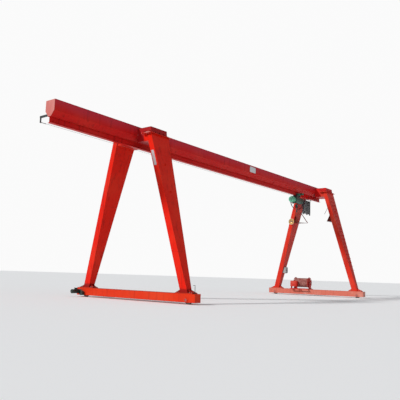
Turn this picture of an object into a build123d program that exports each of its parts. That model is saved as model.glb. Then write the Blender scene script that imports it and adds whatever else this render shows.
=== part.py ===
from build123d import *
from math import cos, hypot, radians, sin, sqrt
import os

# Gantry crane: one box girder on two leaning leg pairs, with a wire rope hoist below it.
# Millimetres. X runs along the girder, from the long free end to the short one, and Z is up.
# The origin is under the middle of the girder, where the wheel flanges touch the ground.

# Main sizes
span = 22500.0
near_cantilever = 6240.0
far_overhang = 980.0
girder_top = 9577.0
plate = 12.0
running_gap = 0.3

# Box girder
girder_width = 684.0
girder_side = 537.0
girder_taper = 270.0
top_lip = 18.0

# Runway beam under the girder, with the places of its end stops
runway_depth = 324.0
runway_width = 220.0
runway_flange = 22.0
runway_web = 16.0
stop_from_near_end = 260.0
stop_from_far_legs = 1330.0
stop_length = 110.0
stop_height = 130.0
stop_plate = 16.0

# Ground beams
beam_length = 8950.0
beam_width = 450.0
beam_height = 433.0
beam_clearance = 100.0
beam_end_lap = 10.0
pad_plate = 25.0
pad_length = 1135.0
pad_width = 430.0

# Legs. Their heads are measured from the girder's centre plane, their feet from the beam's ends
head_inner = 1136.0
head_depth = 319.0
head_length = 1446.0
foot_from_end = 521.0
foot_depth = 462.0
foot_length = 362.0
leg_plate = 10.0
flange_plate = 20.0
joint_below_top = 493.0
joint_margin_side = 160.0
joint_margin_out = 85.0
nose_inner = 860.0
nose_height = 384.0
gusset_height = 180.0
gusset_plate = 14.0
rib_height = 150.0
rib_plate = 12.0
rib_toe = 30.0
lug_shares = (0.62, 0.8)
lug_reach = 90.0

# Saddles between the girder and the leg heads
saddle_below_top = 140.0
saddle_length = 1300.0
saddle_plate = 16.0
saddle_lip = 10.0
saddle_setback = 40.0
saddle_rake = 50.0

# Travelling wheels and their bearings
wheel_tread_radius = 200.0
wheel_flange_radius = 220.0
wheel_tread_width = 90.0
wheel_flange_width = 22.0
wheel_hub_radius = 75.0
wheel_from_end = 575.0
axle_radius = 45.0
bearing_radius = 105.0
bearing_depth = 40.0
doubler_half = 150.0
doubler_height = 290.0
doubler_plate = 8.0
pocket_gap = 30.0

# Travel drives
drive_gearbox_depth = 170.0
drive_gearbox_radius = 125.0
drive_motor_radius = 118.0
drive_motor_length = 400.0
drive_cowl_length = 110.0
drive_offset = 215.0
drive_rise = 95.0
fin_height = 14.0
fin_width = 7.0
drive_fins = 20

# Hoist, with its place along the girder as photographed
hoist_from_far_legs = 3430.0
hoist_drop = 406.0
case_radius = 260.0
case_length = 1020.0
case_wall = 14.0
case_flange = 18.0
case_flange_width = 30.0
motor_radius = 215.0
motor_length = 400.0
motor_fins = 24
cowl_radius = 262.0
cowl_length = 120.0
gearbox_radius = 285.0
gearbox_length = 280.0
rope_slot = 150.0
drum_radius = 170.0
drum_wall = 18.0
housing_wall = 22.0
control_depth = 200.0
control_height = 380.0
control_length = 500.0

# Hoist trolley
trolley_length = 760.0
trolley_plate = 15.0
trolley_wheel_radius = 72.0
trolley_wheel_width = 58.0
trolley_wheelbase = 500.0
trolley_gap = 10.0
trolley_pin_radius = 18.0
tie_bar_radius = 22.0
tie_bar_drop = 45.0
hanger_place = 210.0

# Hook block and ropes
block_x_shift = -60.0
block_drop = 60.0
block_width = 150.0
sheave_radius = 130.0
sheave_root = 112.0
sheave_half = 30.0
cheek_plate = 16.0
cross_head_low = 225.0
cross_head_height = 60.0
rope_radius = 8.0
hook_section = 34.0
hook_bowl = 62.0
hook_shank = 125.0

# Festoon
wire_below_top = 967.0
festoon_side = 800.0
wire_radius = 6.0
tensioner_radius = 14.0
tensioner_length = 260.0
sleeve_length = 60.0
post_length = 210.0
post_below_wire = 30.0
arm_size = 100.0
arm_width = 60.0
arm_from_end = 80.0
roller_radius = 24.0
roller_groove = 17.0
carrier_count = 8
carrier_pitch = 210.0
carriers_before_legs = 750.0
carrier_drop = 120.0
cable_radius = 12.0
cable_faces = 8
cable_grip = 20.0
loop_depth = 1250.0
loop_stagger = 60.0
lead_bend = 260.0
lead_start = 330.0

# Cable reel on the far ground beam
reel_off_beam = 120.0
reel_rise = 572.0
reel_start = 560.0
reel_end = 1900.0
reel_flange_radius = 470.0
reel_core_radius = 210.0
reel_wound_radius = 400.0
reel_window_radius = 62.0
reel_windows = 8
reel_turns = 8
reel_shaft_radius = 35.0
reel_base = 50.0
reel_rail = 110.0

# Fittings on the far legs
step_height = 6500.0
step_plate = 14.0
step_half = 430.0
step_reach = 480.0
step_long_reach = 1000.0
step_rise = 640.0
stay_radius = 14.0
stay_drop = 660.0
stay_reach = 330.0
lamp_radius = 270.0
lamp_depth = 175.0
lamp_stand_off = 60.0
cabinet_low = 1930.0
cabinet_height = 500.0
cabinet_half = 180.0
cabinet_depth = 215.0
rung_low = 2300.0
rung_pitch = 330.0
rung_half = 190.0
rung_reach = 130.0
rung_size = 24.0

# Worked out from the sizes above
girder_length = near_cantilever + span + far_overhang
near_end = -girder_length / 2
far_end = girder_length / 2
near_frame = near_end + near_cantilever
far_frame = near_frame + span
taper_bottom = girder_top - girder_side - girder_taper
runway_bottom = taper_bottom - runway_depth
runway_tread = runway_bottom + runway_flange
beam_top = beam_clearance + beam_height
pad_top = beam_top + pad_plate
leg_foot_z = pad_top + flange_plate
joint_z = girder_top - joint_below_top
leg_head_z = joint_z - flange_plate
foot_inner = beam_length / 2 - foot_from_end - foot_depth
foot_middle = foot_inner + foot_depth / 2
wheel_place = beam_length / 2 - wheel_from_end
wheel_z = wheel_flange_radius
hoist_x = far_frame - hoist_from_far_legs
hoist_z = runway_bottom - hoist_drop
trolley_inner = runway_width / 2 + trolley_gap + 16
trolley_outer = trolley_inner + trolley_plate
trolley_wheel_z = runway_tread + trolley_wheel_radius + running_gap
block_top = hoist_z - case_radius - block_drop
sheave_z = block_top - sheave_radius
wire_z = girder_top - wire_below_top
carrier_first = far_frame - carriers_before_legs
cable_top = wire_z - carrier_drop
reel_x = far_frame + reel_off_beam
reel_z = beam_top + reel_rise


def box(x, y, z):
    """A box between two limits on each axis."""
    size = [high - low for low, high in (x, y, z)]
    centre = [(low + high) / 2 for low, high in (x, y, z)]
    return Pos(*centre) * Box(*size)


def rod_x(radius, x, y, z):
    return Pos((x[0] + x[1]) / 2, y, z) * Rot(0, 90, 0) * Cylinder(radius, x[1] - x[0])


def rod_y(radius, x, y, z):
    return Pos(x, (y[0] + y[1]) / 2, z) * Rot(90, 0, 0) * Cylinder(radius, y[1] - y[0])


def rod_z(radius, x, y, z):
    return Pos(x, y, (z[0] + z[1]) / 2) * Cylinder(radius, z[1] - z[0])


def plate_yz(points, x):
    """A flat piece with its outline in Y and Z, from one X to the other."""
    face = make_face(Polyline(*[(0, y, z) for y, z in points], close=True))
    return Pos(x[0], 0, 0) * extrude(face, x[1] - x[0], dir=(1, 0, 0))


def plate_xz(points, y):
    face = make_face(Polyline(*[(x, 0, z) for x, z in points], close=True))
    return Pos(0, y[0], 0) * extrude(face, y[1] - y[0], dir=(0, 1, 0))


def plate_xy(points, z):
    face = make_face(Polyline(*[(x, y, 0) for x, y in points], close=True))
    return Pos(0, 0, z[0]) * extrude(face, z[1] - z[0], dir=(0, 0, 1))


def mirror_side(shape, side):
    """Shapes are drawn on the +Y side and mirrored for the other one."""
    return shape if side > 0 else mirror(shape, about=Plane.XZ)


def turned_x(outline):
    """A piece turned about X, from an outline of places along the axis and radii."""
    return revolve(make_face(Polyline(*[(x, 0, radius) for x, radius in outline], close=True)), Axis.X)


def turned_y(outline):
    return revolve(make_face(Polyline(*[(0, y, radius) for y, radius in outline], close=True)), Axis.Y)


def turned_z(outline):
    return revolve(make_face(Polyline(*[(radius, 0, z) for z, radius in outline], close=True)), Axis.Z)


def fins_x(count, x, radius, y, z):
    """Cooling fins along a motor's length, spread round its axis."""
    low = radius - fin_height - 4
    fin = box(x, (-fin_width / 2, fin_width / 2), (low, radius))
    return [Pos(0, y, z) * Rot(360 * i / count, 0, 0) * fin for i in range(count)]


def girder_outline(wall):
    """The girder's five-sided outline, drawn a wall's thickness inside the outer faces."""
    half = girder_width / 2 - wall
    low = runway_width / 2 - wall
    return [(-half, girder_top - wall), (half, girder_top - wall), (half, girder_top - girder_side),
            (low, taper_bottom + wall), (-low, taper_bottom + wall), (-half, girder_top - girder_side)]


def girder_box():
    """The hollow box, with a cover plate that laps over both sides."""
    ends = (near_end + plate, far_end - plate)
    lap = girder_width / 2 + top_lip
    body = plate_yz(girder_outline(0), ends)
    body += box(ends, (-lap, lap), (girder_top - plate, girder_top))
    return body - plate_yz(girder_outline(plate), (ends[0] - 1, ends[1] + 1))


def girder_end_plate(x):
    return plate_yz(girder_outline(0), (x, x + plate))


def runway_beam():
    half = runway_width / 2
    ends = (near_end + plate, far_end - plate)
    lower = box(ends, (-half, half), (runway_bottom, runway_tread))
    web = box(ends, (-runway_web / 2, runway_web / 2), (runway_tread, taper_bottom - runway_flange))
    upper = box(ends, (-half, half), (taper_bottom - runway_flange, taper_bottom))
    return lower + web + upper


def runway_stop(x, facing):
    """An end stop on both edges of the lower flange: a foot, an upright and a raking rib."""
    half, web = runway_width / 2, runway_web / 2
    high = runway_tread + stop_height
    foot = box((0, stop_length), (web, half), (runway_tread, runway_tread + stop_plate))
    upright = box((0, stop_plate), (web, half), (runway_tread, high))
    middle = (web + half) / 2
    rib = plate_xz([(stop_plate - 1, runway_tread + 1), (stop_length - 10, runway_tread + stop_plate),
                    (stop_plate - 1, high - 10)], (middle - stop_plate / 2, middle + stop_plate / 2))
    one = foot + upright + rib
    both = one + mirror(one, about=Plane.XZ)
    return Pos(x, 0, 0) * (both if facing < 0 else mirror(both, about=Plane.YZ))


def leg_share(z):
    return (z - leg_foot_z) / (leg_head_z - leg_foot_z)


def leg_inner(z):
    return foot_inner + (head_inner - foot_inner) * leg_share(z)


def leg_outer(z):
    foot = foot_inner + foot_depth
    return foot + (head_inner + head_depth - foot) * leg_share(z)


def leg_half(z):
    return (foot_length + (head_length - foot_length) * leg_share(z)) / 2


def leg_tube(wall, low, high):
    """The leaning, tapering box of a leg, less a wall on every side."""
    lean = plate_yz([(leg_inner(low) + wall, low), (leg_outer(low) - wall, low),
                     (leg_outer(high) - wall, high), (leg_inner(high) + wall, high)],
                    (-head_length, head_length))
    foot, head = leg_half(low) - wall, leg_half(high) - wall
    taper = plate_xz([(-foot, low), (foot, low), (head, high), (-head, high)], (0, beam_length))
    return lean & taper


def leg_lug(z):
    """A lifting eye on the leg's outer face."""
    face = leg_outer(z)
    slope = (leg_outer(leg_foot_z) - leg_outer(leg_head_z)) / (leg_head_z - leg_foot_z)
    half = 2 * lug_reach / 3
    points = [(face - 5 + half * slope, z - half), (face + lug_reach, z - 25),
              (face + lug_reach, z + 25), (face - 5 - half * slope, z + half)]
    eye = rod_x(22, (-gusset_plate, gusset_plate), face + lug_reach - 42, z)
    return plate_yz(points, (-gusset_plate / 2, gusset_plate / 2)) - eye


def foot_gussets():
    """Ribs that stiffen the foot plate along both raking faces of the leg."""
    high = leg_foot_z + gusset_height
    reach = pad_length / 2 - 20
    shapes = []
    for face, way in ((leg_outer, 1), (leg_inner, -1)):
        toe = foot_middle + way * reach
        points = [(face(leg_foot_z) - 8 * way, leg_foot_z), (toe, leg_foot_z), (toe, leg_foot_z + rib_toe),
                  (face(high), high), (face(high) - 8 * way, high)]
        for x in (-foot_length / 4, foot_length / 4):
            shapes.append(plate_yz(points, (x - gusset_plate / 2, x + gusset_plate / 2)))
    return shapes


def head_ribs(body_half, edge, low, high, places):
    """Ribs between a flange and the faces that look along the girder, drawn for both of them.
    The flange is at the height low, and the rib's point is at high, above or below it."""
    toe = low + rib_toe * (1 if high > low else -1)
    shapes = []
    for y in places:
        for way in (-1, 1):
            points = [(way * (body_half(high) - 8), high), (way * (body_half(low) - 8), low),
                      (way * edge, low), (way * edge, toe)]
            shapes.append(plate_xz(points, (y - rib_plate / 2, y + rib_plate / 2)))
    return shapes


def leg(frame_x, side):
    nose_low = leg_head_z - nose_height
    nose = plate_yz([(nose_inner, nose_low), (leg_inner(nose_low) + 5, nose_low),
                     (leg_inner(leg_head_z) + 5, leg_head_z), (nose_inner, leg_head_z)],
                    (-saddle_length / 2, saddle_length / 2))
    nose_hole = plate_yz([(nose_inner + leg_plate, nose_low + leg_plate),
                          (leg_inner(nose_low) + 40, nose_low + leg_plate),
                          (leg_inner(leg_head_z) + 40, leg_head_z + 1),
                          (nose_inner + leg_plate, leg_head_z + 1)],
                         (leg_plate - saddle_length / 2, saddle_length / 2 - leg_plate))
    half = head_length / 2 + joint_margin_side
    head = box((-half, half), (nose_inner, head_inner + head_depth + joint_margin_out),
               (leg_head_z, joint_z))
    foot = box((-pad_width / 2, pad_width / 2), (foot_middle - pad_length / 2, foot_middle + pad_length / 2),
               (pad_top, leg_foot_z))
    shape = leg_tube(0, leg_foot_z, leg_head_z) + nose - nose_hole
    shape -= leg_tube(leg_plate, leg_foot_z - 1, leg_head_z + 1)
    shape += [head, foot]
    shape += foot_gussets()
    shape += head_ribs(leg_half, half - 10, leg_head_z, leg_head_z - rib_height,
                       (head_inner + 60, head_inner + head_depth - 70))
    shape += [leg_lug(leg_foot_z + share * (leg_head_z - leg_foot_z)) for share in lug_shares]
    return Pos(frame_x, 0, 0) * mirror_side(shape, side)


def saddle(frame_x, side):
    """The welded box that carries the girder on a leg's head, open towards the girder."""
    top = girder_top - saddle_below_top
    low = leg_head_z - nose_height
    near = girder_width / 2
    end = head_inner + head_depth - saddle_setback
    half = saddle_length / 2
    inset = saddle_plate
    seat = joint_z + flange_plate
    out = head_inner + head_depth + joint_margin_out
    shell = plate_yz([(near, low), (nose_inner, low), (nose_inner, seat), (end, seat),
                      (end - saddle_rake, top), (near, top)], (-half, half))
    hole = plate_yz([(near - 1, low + inset), (nose_inner - inset, low + inset),
                     (nose_inner - inset, seat + inset), (end - inset - 4, seat + inset),
                     (end - saddle_rake - inset, top - inset), (near - 1, top - inset)],
                    (inset - half, half - inset))
    wide = head_length / 2 + joint_margin_side
    shape = shell - hole
    shape += box((-wide, wide), (nose_inner, out), (joint_z, seat))
    shape += box((-half - saddle_lip, half + saddle_lip), (near, end - saddle_rake + saddle_lip),
                 (top, top + inset))
    shape += head_ribs(lambda z: half, wide - 10, seat - 1, seat + rib_height,
                       (nose_inner + rib_height, end - rib_height / 2))
    lean = saddle_rake * rib_height / (top - seat)
    for x in (-half / 2, 0, half / 2):
        shape += plate_yz([(end - 10, seat - 1), (out - 10, seat - 1), (out - 10, seat + rib_toe),
                           (end - lean, seat + rib_height), (end - lean - 10, seat + rib_height)],
                          (x - rib_plate / 2, x + rib_plate / 2))
    return Pos(frame_x, 0, 0) * mirror_side(shape, side)


def ground_beam(frame_x):
    half, long = beam_width / 2, beam_length / 2
    body = box((-half, half), (-long, long), (beam_clearance, beam_top))
    for way in (-1, 1):
        body += box((-half - beam_end_lap, half + beam_end_lap), sorted((way * long, way * (long - plate))),
                    (beam_clearance, beam_top + beam_end_lap))
    body -= box((plate - half, half - plate), (plate - long, long - plate),
                (beam_clearance + plate, beam_top - plate))
    pocket = wheel_flange_radius + pocket_gap
    wide = wheel_tread_width / 2 + wheel_flange_width + pocket_gap
    for y in (-wheel_place, wheel_place):
        body -= box((-wide, wide), (y - pocket, y + pocket), (beam_clearance - 1, beam_clearance + plate + 1))
        for way in (-1, 1):
            doubler = sorted((way * (half - 1), way * (half + doubler_plate)))
            body += box(doubler, (y - doubler_half, y + doubler_half),
                        (beam_clearance, beam_clearance + doubler_height))
            bearing = sorted((way * (half - plate), way * (half + bearing_depth)))
            body += rod_x(bearing_radius, bearing, y, wheel_z)
        body -= rod_x(axle_radius + running_gap, (-half - 100, half + 100), y, wheel_z)
    for y in (-foot_middle, foot_middle):
        body += box((-pad_width / 2, pad_width / 2), (y - pad_length / 2, y + pad_length / 2),
                    (beam_top, pad_top))
    return Pos(frame_x, 0, 0) * body


def travel_wheel(frame_x, y):
    """A crane wheel with two flanges, a dished web and its axle, turned about X."""
    tread = wheel_tread_width / 2
    edge = tread + wheel_flange_width
    axle_end = beam_width / 2 + bearing_depth - 2
    hub = edge + 10
    side = [(axle_end, 0), (axle_end, axle_radius), (hub, axle_radius), (hub, wheel_hub_radius),
            (14, wheel_hub_radius + 8), (14, wheel_tread_radius - 45), (edge, wheel_tread_radius - 38),
            (edge, wheel_flange_radius - 8), (edge - 8, wheel_flange_radius),
            (tread + 6, wheel_flange_radius), (tread, wheel_tread_radius)]
    outline = side + [(-x, radius) for x, radius in reversed(side)]
    return Pos(frame_x, y, wheel_z) * turned_x(outline)


def travel_drive(frame_x, outward):
    """The geared motor at one end of a ground beam: gear case, torque bracket, finned motor,
    terminal box and fan cowl."""
    face = beam_width / 2 + bearing_depth
    gear_end = face + drive_gearbox_depth
    motor_y, motor_z = wheel_place + drive_offset, wheel_z + drive_rise
    case = rod_x(drive_gearbox_radius, (face, gear_end), wheel_place, wheel_z)
    case += rod_x(drive_gearbox_radius, (face + 15, gear_end), motor_y, motor_z)
    length = hypot(drive_offset, drive_rise)
    rim = drive_gearbox_radius - 8
    side_y, side_z = -drive_rise / length * rim, drive_offset / length * rim
    case += plate_yz([(wheel_place + side_y, wheel_z + side_z), (motor_y + side_y, motor_z + side_z),
                      (motor_y - side_y, motor_z - side_z), (wheel_place - side_y, wheel_z - side_z)],
                     (face + 15, gear_end - 5))
    case += box((beam_width / 2, face + 20), (motor_y - 40, motor_y + 40), (motor_z - 30, motor_z + 30))
    motor_end = gear_end + drive_motor_length
    body = drive_motor_radius - fin_height
    motor = rod_x(body, (gear_end, motor_end), motor_y, motor_z)
    motor += rod_x(drive_motor_radius + 10, (gear_end, gear_end + 18), motor_y, motor_z)
    motor += fins_x(drive_fins, (gear_end + 30, motor_end), drive_motor_radius, motor_y, motor_z)
    cowl = rod_x(drive_motor_radius + 4, (motor_end, motor_end + drive_cowl_length), motor_y, motor_z)
    cowl = chamfer(cowl.edges().group_by(Axis.X)[-1], 22)
    middle = (gear_end + motor_end) / 2
    terminals = box((middle - 75, middle + 75), (motor_y - 60, motor_y + 60),
                    (motor_z + body - 10, motor_z + drive_motor_radius + 70))
    terminals = chamfer(terminals.edges().filter_by(Axis.Z), 15)
    shape = case + motor + cowl + terminals
    if outward < 0:
        shape = mirror(shape, about=Plane.YZ)
    return Pos(frame_x, 0, 0) * shape


def trolley_frame():
    """Two shaped side plates held apart by tie bars, hung on wheel pins, with cradles for the hoist."""
    half = trolley_length / 2
    top = runway_tread + 2 * trolley_wheel_radius + 10
    low = hoist_z + sqrt(case_radius ** 2 - trolley_inner ** 2) + running_gap
    waist = runway_bottom - 70
    side = plate_xz([(-half, runway_tread + 10), (-half + 90, top), (half - 90, top),
                     (half, runway_tread + 10), (half, waist), (half - 140, low),
                     (-half + 140, low), (-half, waist)], (trolley_inner, trolley_outer))
    side -= rod_y(50, 0, (trolley_inner - 1, trolley_outer + 1), (top + waist) / 2)
    shape = side + mirror(side, about=Plane.XZ)
    for x in (-half + 60, half - 60):
        shape += rod_y(tie_bar_radius, x, (-trolley_outer - 30, trolley_outer + 30),
                       runway_bottom - tie_bar_drop)
    for x in (-hanger_place, hanger_place):
        hanger = box((x - 18, x + 18), (-trolley_inner, trolley_inner), (hoist_z, waist))
        shape += hanger - rod_x(case_radius, (x - 30, x + 30), 0, hoist_z)
    for x in (-trolley_wheelbase / 2, trolley_wheelbase / 2):
        for side_y in (-1, 1):
            ends = sorted((side_y * (trolley_outer + 24), side_y * (runway_width / 2 - 40)))
            shape += rod_y(trolley_pin_radius, x, ends, trolley_wheel_z)
            cap = sorted((side_y * trolley_outer, side_y * (trolley_outer + 12)))
            shape += rod_y(trolley_pin_radius + 16, x, cap, trolley_wheel_z)
    return Pos(hoist_x, 0, 0) * shape


def trolley_wheel(index):
    """A flanged wheel on the lower flange's upper face; its rim clears the flange edge."""
    x = (-1 if index % 2 else 1) * trolley_wheelbase / 2
    side = 1 if index < 2 else -1
    edge = runway_width / 2
    hole = trolley_pin_radius
    hub_end = edge + trolley_gap + 15.7
    outline = [(edge - trolley_wheel_width, hole), (edge - trolley_wheel_width, trolley_wheel_radius),
               (edge + 3, trolley_wheel_radius), (edge + 3, trolley_wheel_radius + 16),
               (edge + 15, trolley_wheel_radius + 16), (edge + 15, hole + 16), (hub_end, hole + 16),
               (hub_end, hole)]
    wheel = Pos(x, 0, trolley_wheel_z) * turned_y(outline)
    return Pos(hoist_x, 0, 0) * mirror_side(wheel, side)


def trolley_motor():
    face = trolley_outer + 24
    gear = box((-130, 130), (-face - 110, -trolley_outer), (trolley_wheel_z - 90, trolley_wheel_z + 80))
    gear = chamfer(gear.edges().filter_by(Axis.Y), 30)
    for x in (-trolley_wheelbase / 2, trolley_wheelbase / 2):
        gear -= rod_y(trolley_pin_radius + 20, x, (-face - 1, -trolley_outer + 1), trolley_wheel_z)
    end = -face - 350
    motor = rod_y(66, 60, (end, -face - 110), trolley_wheel_z)
    for i in range(drive_fins):
        fin = box((-fin_width / 2, fin_width / 2), (end, -face - 130), (60, 78))
        motor += Pos(60, 0, trolley_wheel_z) * Rot(0, 360 * i / drive_fins, 0) * fin
    cowl = rod_y(84, 60, (end - 60, end), trolley_wheel_z)
    cowl = chamfer(cowl.edges().group_by(Axis.Y)[0], 14)
    return Pos(hoist_x, 0, 0) * (gear + motor + cowl)


def hoist_case():
    """The rope drum's casing: a tube with flanged ends and an open slot below for the ropes."""
    half = case_length / 2
    rim = case_radius + case_flange
    end = half - case_flange_width
    outline = [(-half, 0), (-half, rim), (-end, rim), (-end, case_radius), (end, case_radius),
               (end, rim), (half, rim), (half, 0)]
    room = rod_x(case_radius - case_wall, (-end, end), 0, 0)
    slot = box((120 - half, half - 120), (-rope_slot / 2, rope_slot / 2), (-case_radius - 10, 0))
    return Pos(hoist_x, 0, hoist_z) * (turned_x(outline) - room - slot)


def hoist_drum():
    half = case_length / 2 - case_flange_width
    inner = drum_radius - drum_wall
    outline = [(-half, inner), (-half, drum_radius), (half, drum_radius), (half, inner)]
    return Pos(hoist_x, 0, hoist_z) * turned_x(outline)


def hoist_motor():
    """The cone brake motor on the end of the case that faces the long cantilever: a finned
    housing on a mounting ring, and a domed brake cowl."""
    end = -motor_length
    body = motor_radius - fin_height
    bore = body - housing_wall
    back = end - cowl_length
    outline = [(0, bore), (0, motor_radius), (-22, motor_radius), (-22, body), (end, body),
               (end, cowl_radius), (end - cowl_length * 0.5, cowl_radius),
               (end - cowl_length * 0.86, cowl_radius - 34), (back, cowl_radius - 92), (back, 0),
               (end, 0), (end, bore)]
    shape = turned_x(outline)
    shape += fins_x(motor_fins, (end - 2, -20), motor_radius, 0, 0)
    return Pos(hoist_x - case_length / 2, 0, hoist_z) * shape


def hoist_gearbox():
    """The gear case on the other end: a stepped, ribbed casting with a boss for its brake shaft."""
    long = gearbox_length
    bore = gearbox_radius - 3 * housing_wall
    outline = [(0, bore), (0, gearbox_radius), (28, gearbox_radius), (28, gearbox_radius - 24),
               (long - 60, gearbox_radius - 36), (long, gearbox_radius - 100), (long, 120),
               (long + 50, 112), (long + 60, 100), (long + 60, 0), (long - 3 * housing_wall, 0),
               (long - 3 * housing_wall, bore)]
    shape = turned_x(outline)
    for i in range(6):
        rib = plate_xz([(20, 190), (20, gearbox_radius - 6), (long - 60, gearbox_radius - 20),
                        (long, 190)], (-rib_plate / 2, rib_plate / 2))
        shape += Rot(60 * i + 30, 0, 0) * rib
    return Pos(hoist_x + case_length / 2, 0, hoist_z) * shape


def hoist_control_box():
    """The control box beside the case, on two straps, with a raised door."""
    face = case_radius + case_flange
    x = (-control_length * 0.36, control_length * 0.64)
    half = control_height / 2
    out = face + control_depth
    body = chamfer(box(x, (face, out), (-half, half)).edges().filter_by(Axis.Z), 16)
    body += box((x[0] + 25, x[1] - 25), (out - 1, out + 8), (25 - half, half - 25))
    body += box((x[0] + 60, x[1] - 60), (face + 40, out - 40), (-half - 22, 1 - half))
    for middle in (x[0] + 60, x[1] - 80):
        strap = box((middle - 20, middle + 20), (case_radius - 40, face + 1), (-90, 90))
        body += strap - rod_x(case_radius, (middle - 21, middle + 21), 0, 0)
    return Pos(hoist_x, 0, hoist_z) * body


def tow_arm():
    """The arm on the trolley that holds the near end of the festoon cable."""
    x = trolley_length / 2 - 60
    z = runway_bottom - tie_bar_drop
    arm = box((x - 25, x + 25), (trolley_outer + 30, festoon_side + 30), (z - 25, z + 25))
    arm -= box((x - 20, x + 20), (trolley_outer + 50, festoon_side + 31), (z - 20, z + 20))
    arm += box((x - 40, x + 40), (trolley_outer, trolley_outer + 30), (z - 55, z + 55))
    arm -= rod_y(tie_bar_radius, x, (trolley_outer - 1, trolley_outer + 30), z)
    return Pos(hoist_x, 0, 0) * arm


def sheave():
    """The grooved rope wheel of the hook block."""
    rim = sheave_root + 14
    flat = rope_radius + 1.5
    outline = [(-sheave_half, 0), (-sheave_half, rim), (-flat - 12, rim), (-flat, sheave_root),
               (flat, sheave_root), (flat + 12, rim), (sheave_half, rim), (sheave_half, 0)]
    return turned_y(outline)


def hook_block():
    """Two shaped cheeks on the sheave's pin, and a cross head that carries the hook on its nut."""
    half = block_width / 2
    low = -cross_head_low - 13
    cheek = rod_y(sheave_radius, 0, (half - cheek_plate, half), 0)
    cheek += plate_xz([(-sheave_radius + 4, -20), (sheave_radius - 4, -20), (84, low + 20),
                       (64, low), (-64, low), (-84, low + 20)], (half - cheek_plate, half))
    cheek += rod_y(52, 0, (half - 1, half + 10), 0)
    cheek += rod_y(20, 0, (half - 1, half + 14), -cross_head_low + cross_head_height / 2)
    shape = cheek + mirror(cheek, about=Plane.XZ)
    shape += sheave()
    shape += rod_y(28, 0, (-half - 20, half + 20), 0)
    head_top = cross_head_height - cross_head_low
    shape += box((-58, 58), (cheek_plate - half - 1, half - cheek_plate + 1), (-cross_head_low, head_top))
    shape += rod_z(46, 0, 0, (head_top - 1, head_top + 8))
    nut = Pos(0, 0, head_top + 7) * extrude(RegularPolygon(36, 6), 16)
    return Pos(hoist_x + block_x_shift, 0, sheave_z) * (shape + nut)


def hook():
    """A forged single hook: a bowl of wide-backed sections that swells below and thins to its tip."""
    top = sheave_z - cross_head_low
    middle = hook_bowl + hook_section
    centre = top - hook_shank - middle
    swell = (0.72, 0.82, 0.9, 0.96, 1.0, 1.05, 1.08, 1.06, 1.0, 0.92, 0.8, 0.65, 0.45)
    section = [(-1.0, 0.34), (-0.82, 0.72), (-0.1, 0.84), (0.7, 0.56), (1.02, 0.22)]
    section += [(across, -wide) for across, wide in reversed(section)]
    faces = []
    for i, share in enumerate(swell):
        a = radians(90 - 300 * i / (len(swell) - 1))
        plane = Plane(origin=(middle * cos(a), 0, centre + middle * sin(a)),
                      x_dir=(cos(a), 0, sin(a)), z_dir=(sin(a), 0, -cos(a)))
        size = hook_section * share
        faces.append(plane * make_face(Polyline(*[(u * size, v * size) for u, v in section], close=True)))
    bowl = loft(faces, ruled=True)
    neck = turned_z([(centre + middle - 22, 0), (centre + middle - 16, 20), (centre + middle + 18, 27),
                     (centre + middle + 60, 24.5), (top, 24.5), (top, 0)])
    return Pos(hoist_x + block_x_shift, 0, 0) * (bowl + neck)


def hoist_ropes():
    reach = sheave_root + rope_radius + running_gap
    falls = [rod_z(rope_radius, x, 0, (sheave_z, hoist_z - drum_radius - running_gap))
             for x in (-reach, reach)]
    return Pos(hoist_x + block_x_shift, 0, 0) * (falls[0] + falls[1])


def festoon_wire():
    """The taut wire between the end arms, with its tensioner and its end sleeve."""
    start = near_end + arm_from_end + arm_width / 2
    stop = far_end - arm_from_end - arm_width / 2
    wire = rod_x(wire_radius, (start, stop), festoon_side, wire_z)
    wire += rod_x(tensioner_radius, (start, start + tensioner_length), festoon_side, wire_z)
    return wire + rod_x(tensioner_radius, (stop - sleeve_length, stop), festoon_side, wire_z)


def festoon_arms():
    """Arms from the girder's raking side at both ends, each with a post that holds the wire."""
    low = wire_z + post_length
    end = festoon_side + 40
    half = arm_width / 2
    arms = []
    for x in (near_end + arm_from_end, far_end - arm_from_end):
        arm = box((x - half, x + half), (runway_width / 2, end), (low, low + arm_size))
        arm -= box((x - half + 6, x + half + 1), (runway_width / 2, end + 1), (low + 6, low + arm_size - 6))
        arm += box((x - half, x + half), (festoon_side - 20, festoon_side + 20),
                   (wire_z - post_below_wire, low + 1))
        arms.append(arm - plate_yz(girder_outline(0), (x - arm_width, x + arm_width)))
    return arms[0] + arms[1]


def carrier(x):
    """A grooved roller on the wire, its side plate, and the rounded saddle that grips the cable."""
    half = arm_width / 2
    centre = wire_z + wire_radius + roller_groove
    block_top = cable_top + 32
    outline = [(-12, 0), (-12, roller_radius), (-5, roller_groove), (5, roller_groove), (12, roller_radius),
               (12, 0)]
    roller = Pos(x, festoon_side, centre) * turned_y(outline)
    plate = box((x - 16, x + 16), (festoon_side + 10, festoon_side + 17), (block_top - 4, centre + 16))
    saddle_block = plate_xz([(x - half - 4, cable_top), (x + half + 4, cable_top), (x + half, cable_top + 20),
                             (x + 14, block_top), (x - 14, block_top),
                             (x - half, cable_top + 20)], (festoon_side - 24, festoon_side + 24))
    return roller + plate + saddle_block


def festoon_carriers():
    carriers = [carrier(carrier_first + i * carrier_pitch) for i in range(carrier_count)]
    return carriers[0] + carriers[1:]


def cable(path, start):
    """A cable along a path that starts downwards."""
    section = Rot(0, 0, 180 / cable_faces) * RegularPolygon(cable_radius, cable_faces)
    return sweep(Plane(origin=start, z_dir=(0, 0, -1)) * section, path=path)


def hanging_loop(start, end, depth):
    """A cable that hangs as a narrow U between two points of one height."""
    radius = (end - start) / 2 - 0.01
    low = cable_top - depth
    path = FilletPolyline((start, festoon_side, cable_top), (start, festoon_side, low),
                          (end, festoon_side, low), (end, festoon_side, cable_top), radius=radius)
    return cable(path, (start, festoon_side, cable_top))


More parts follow.
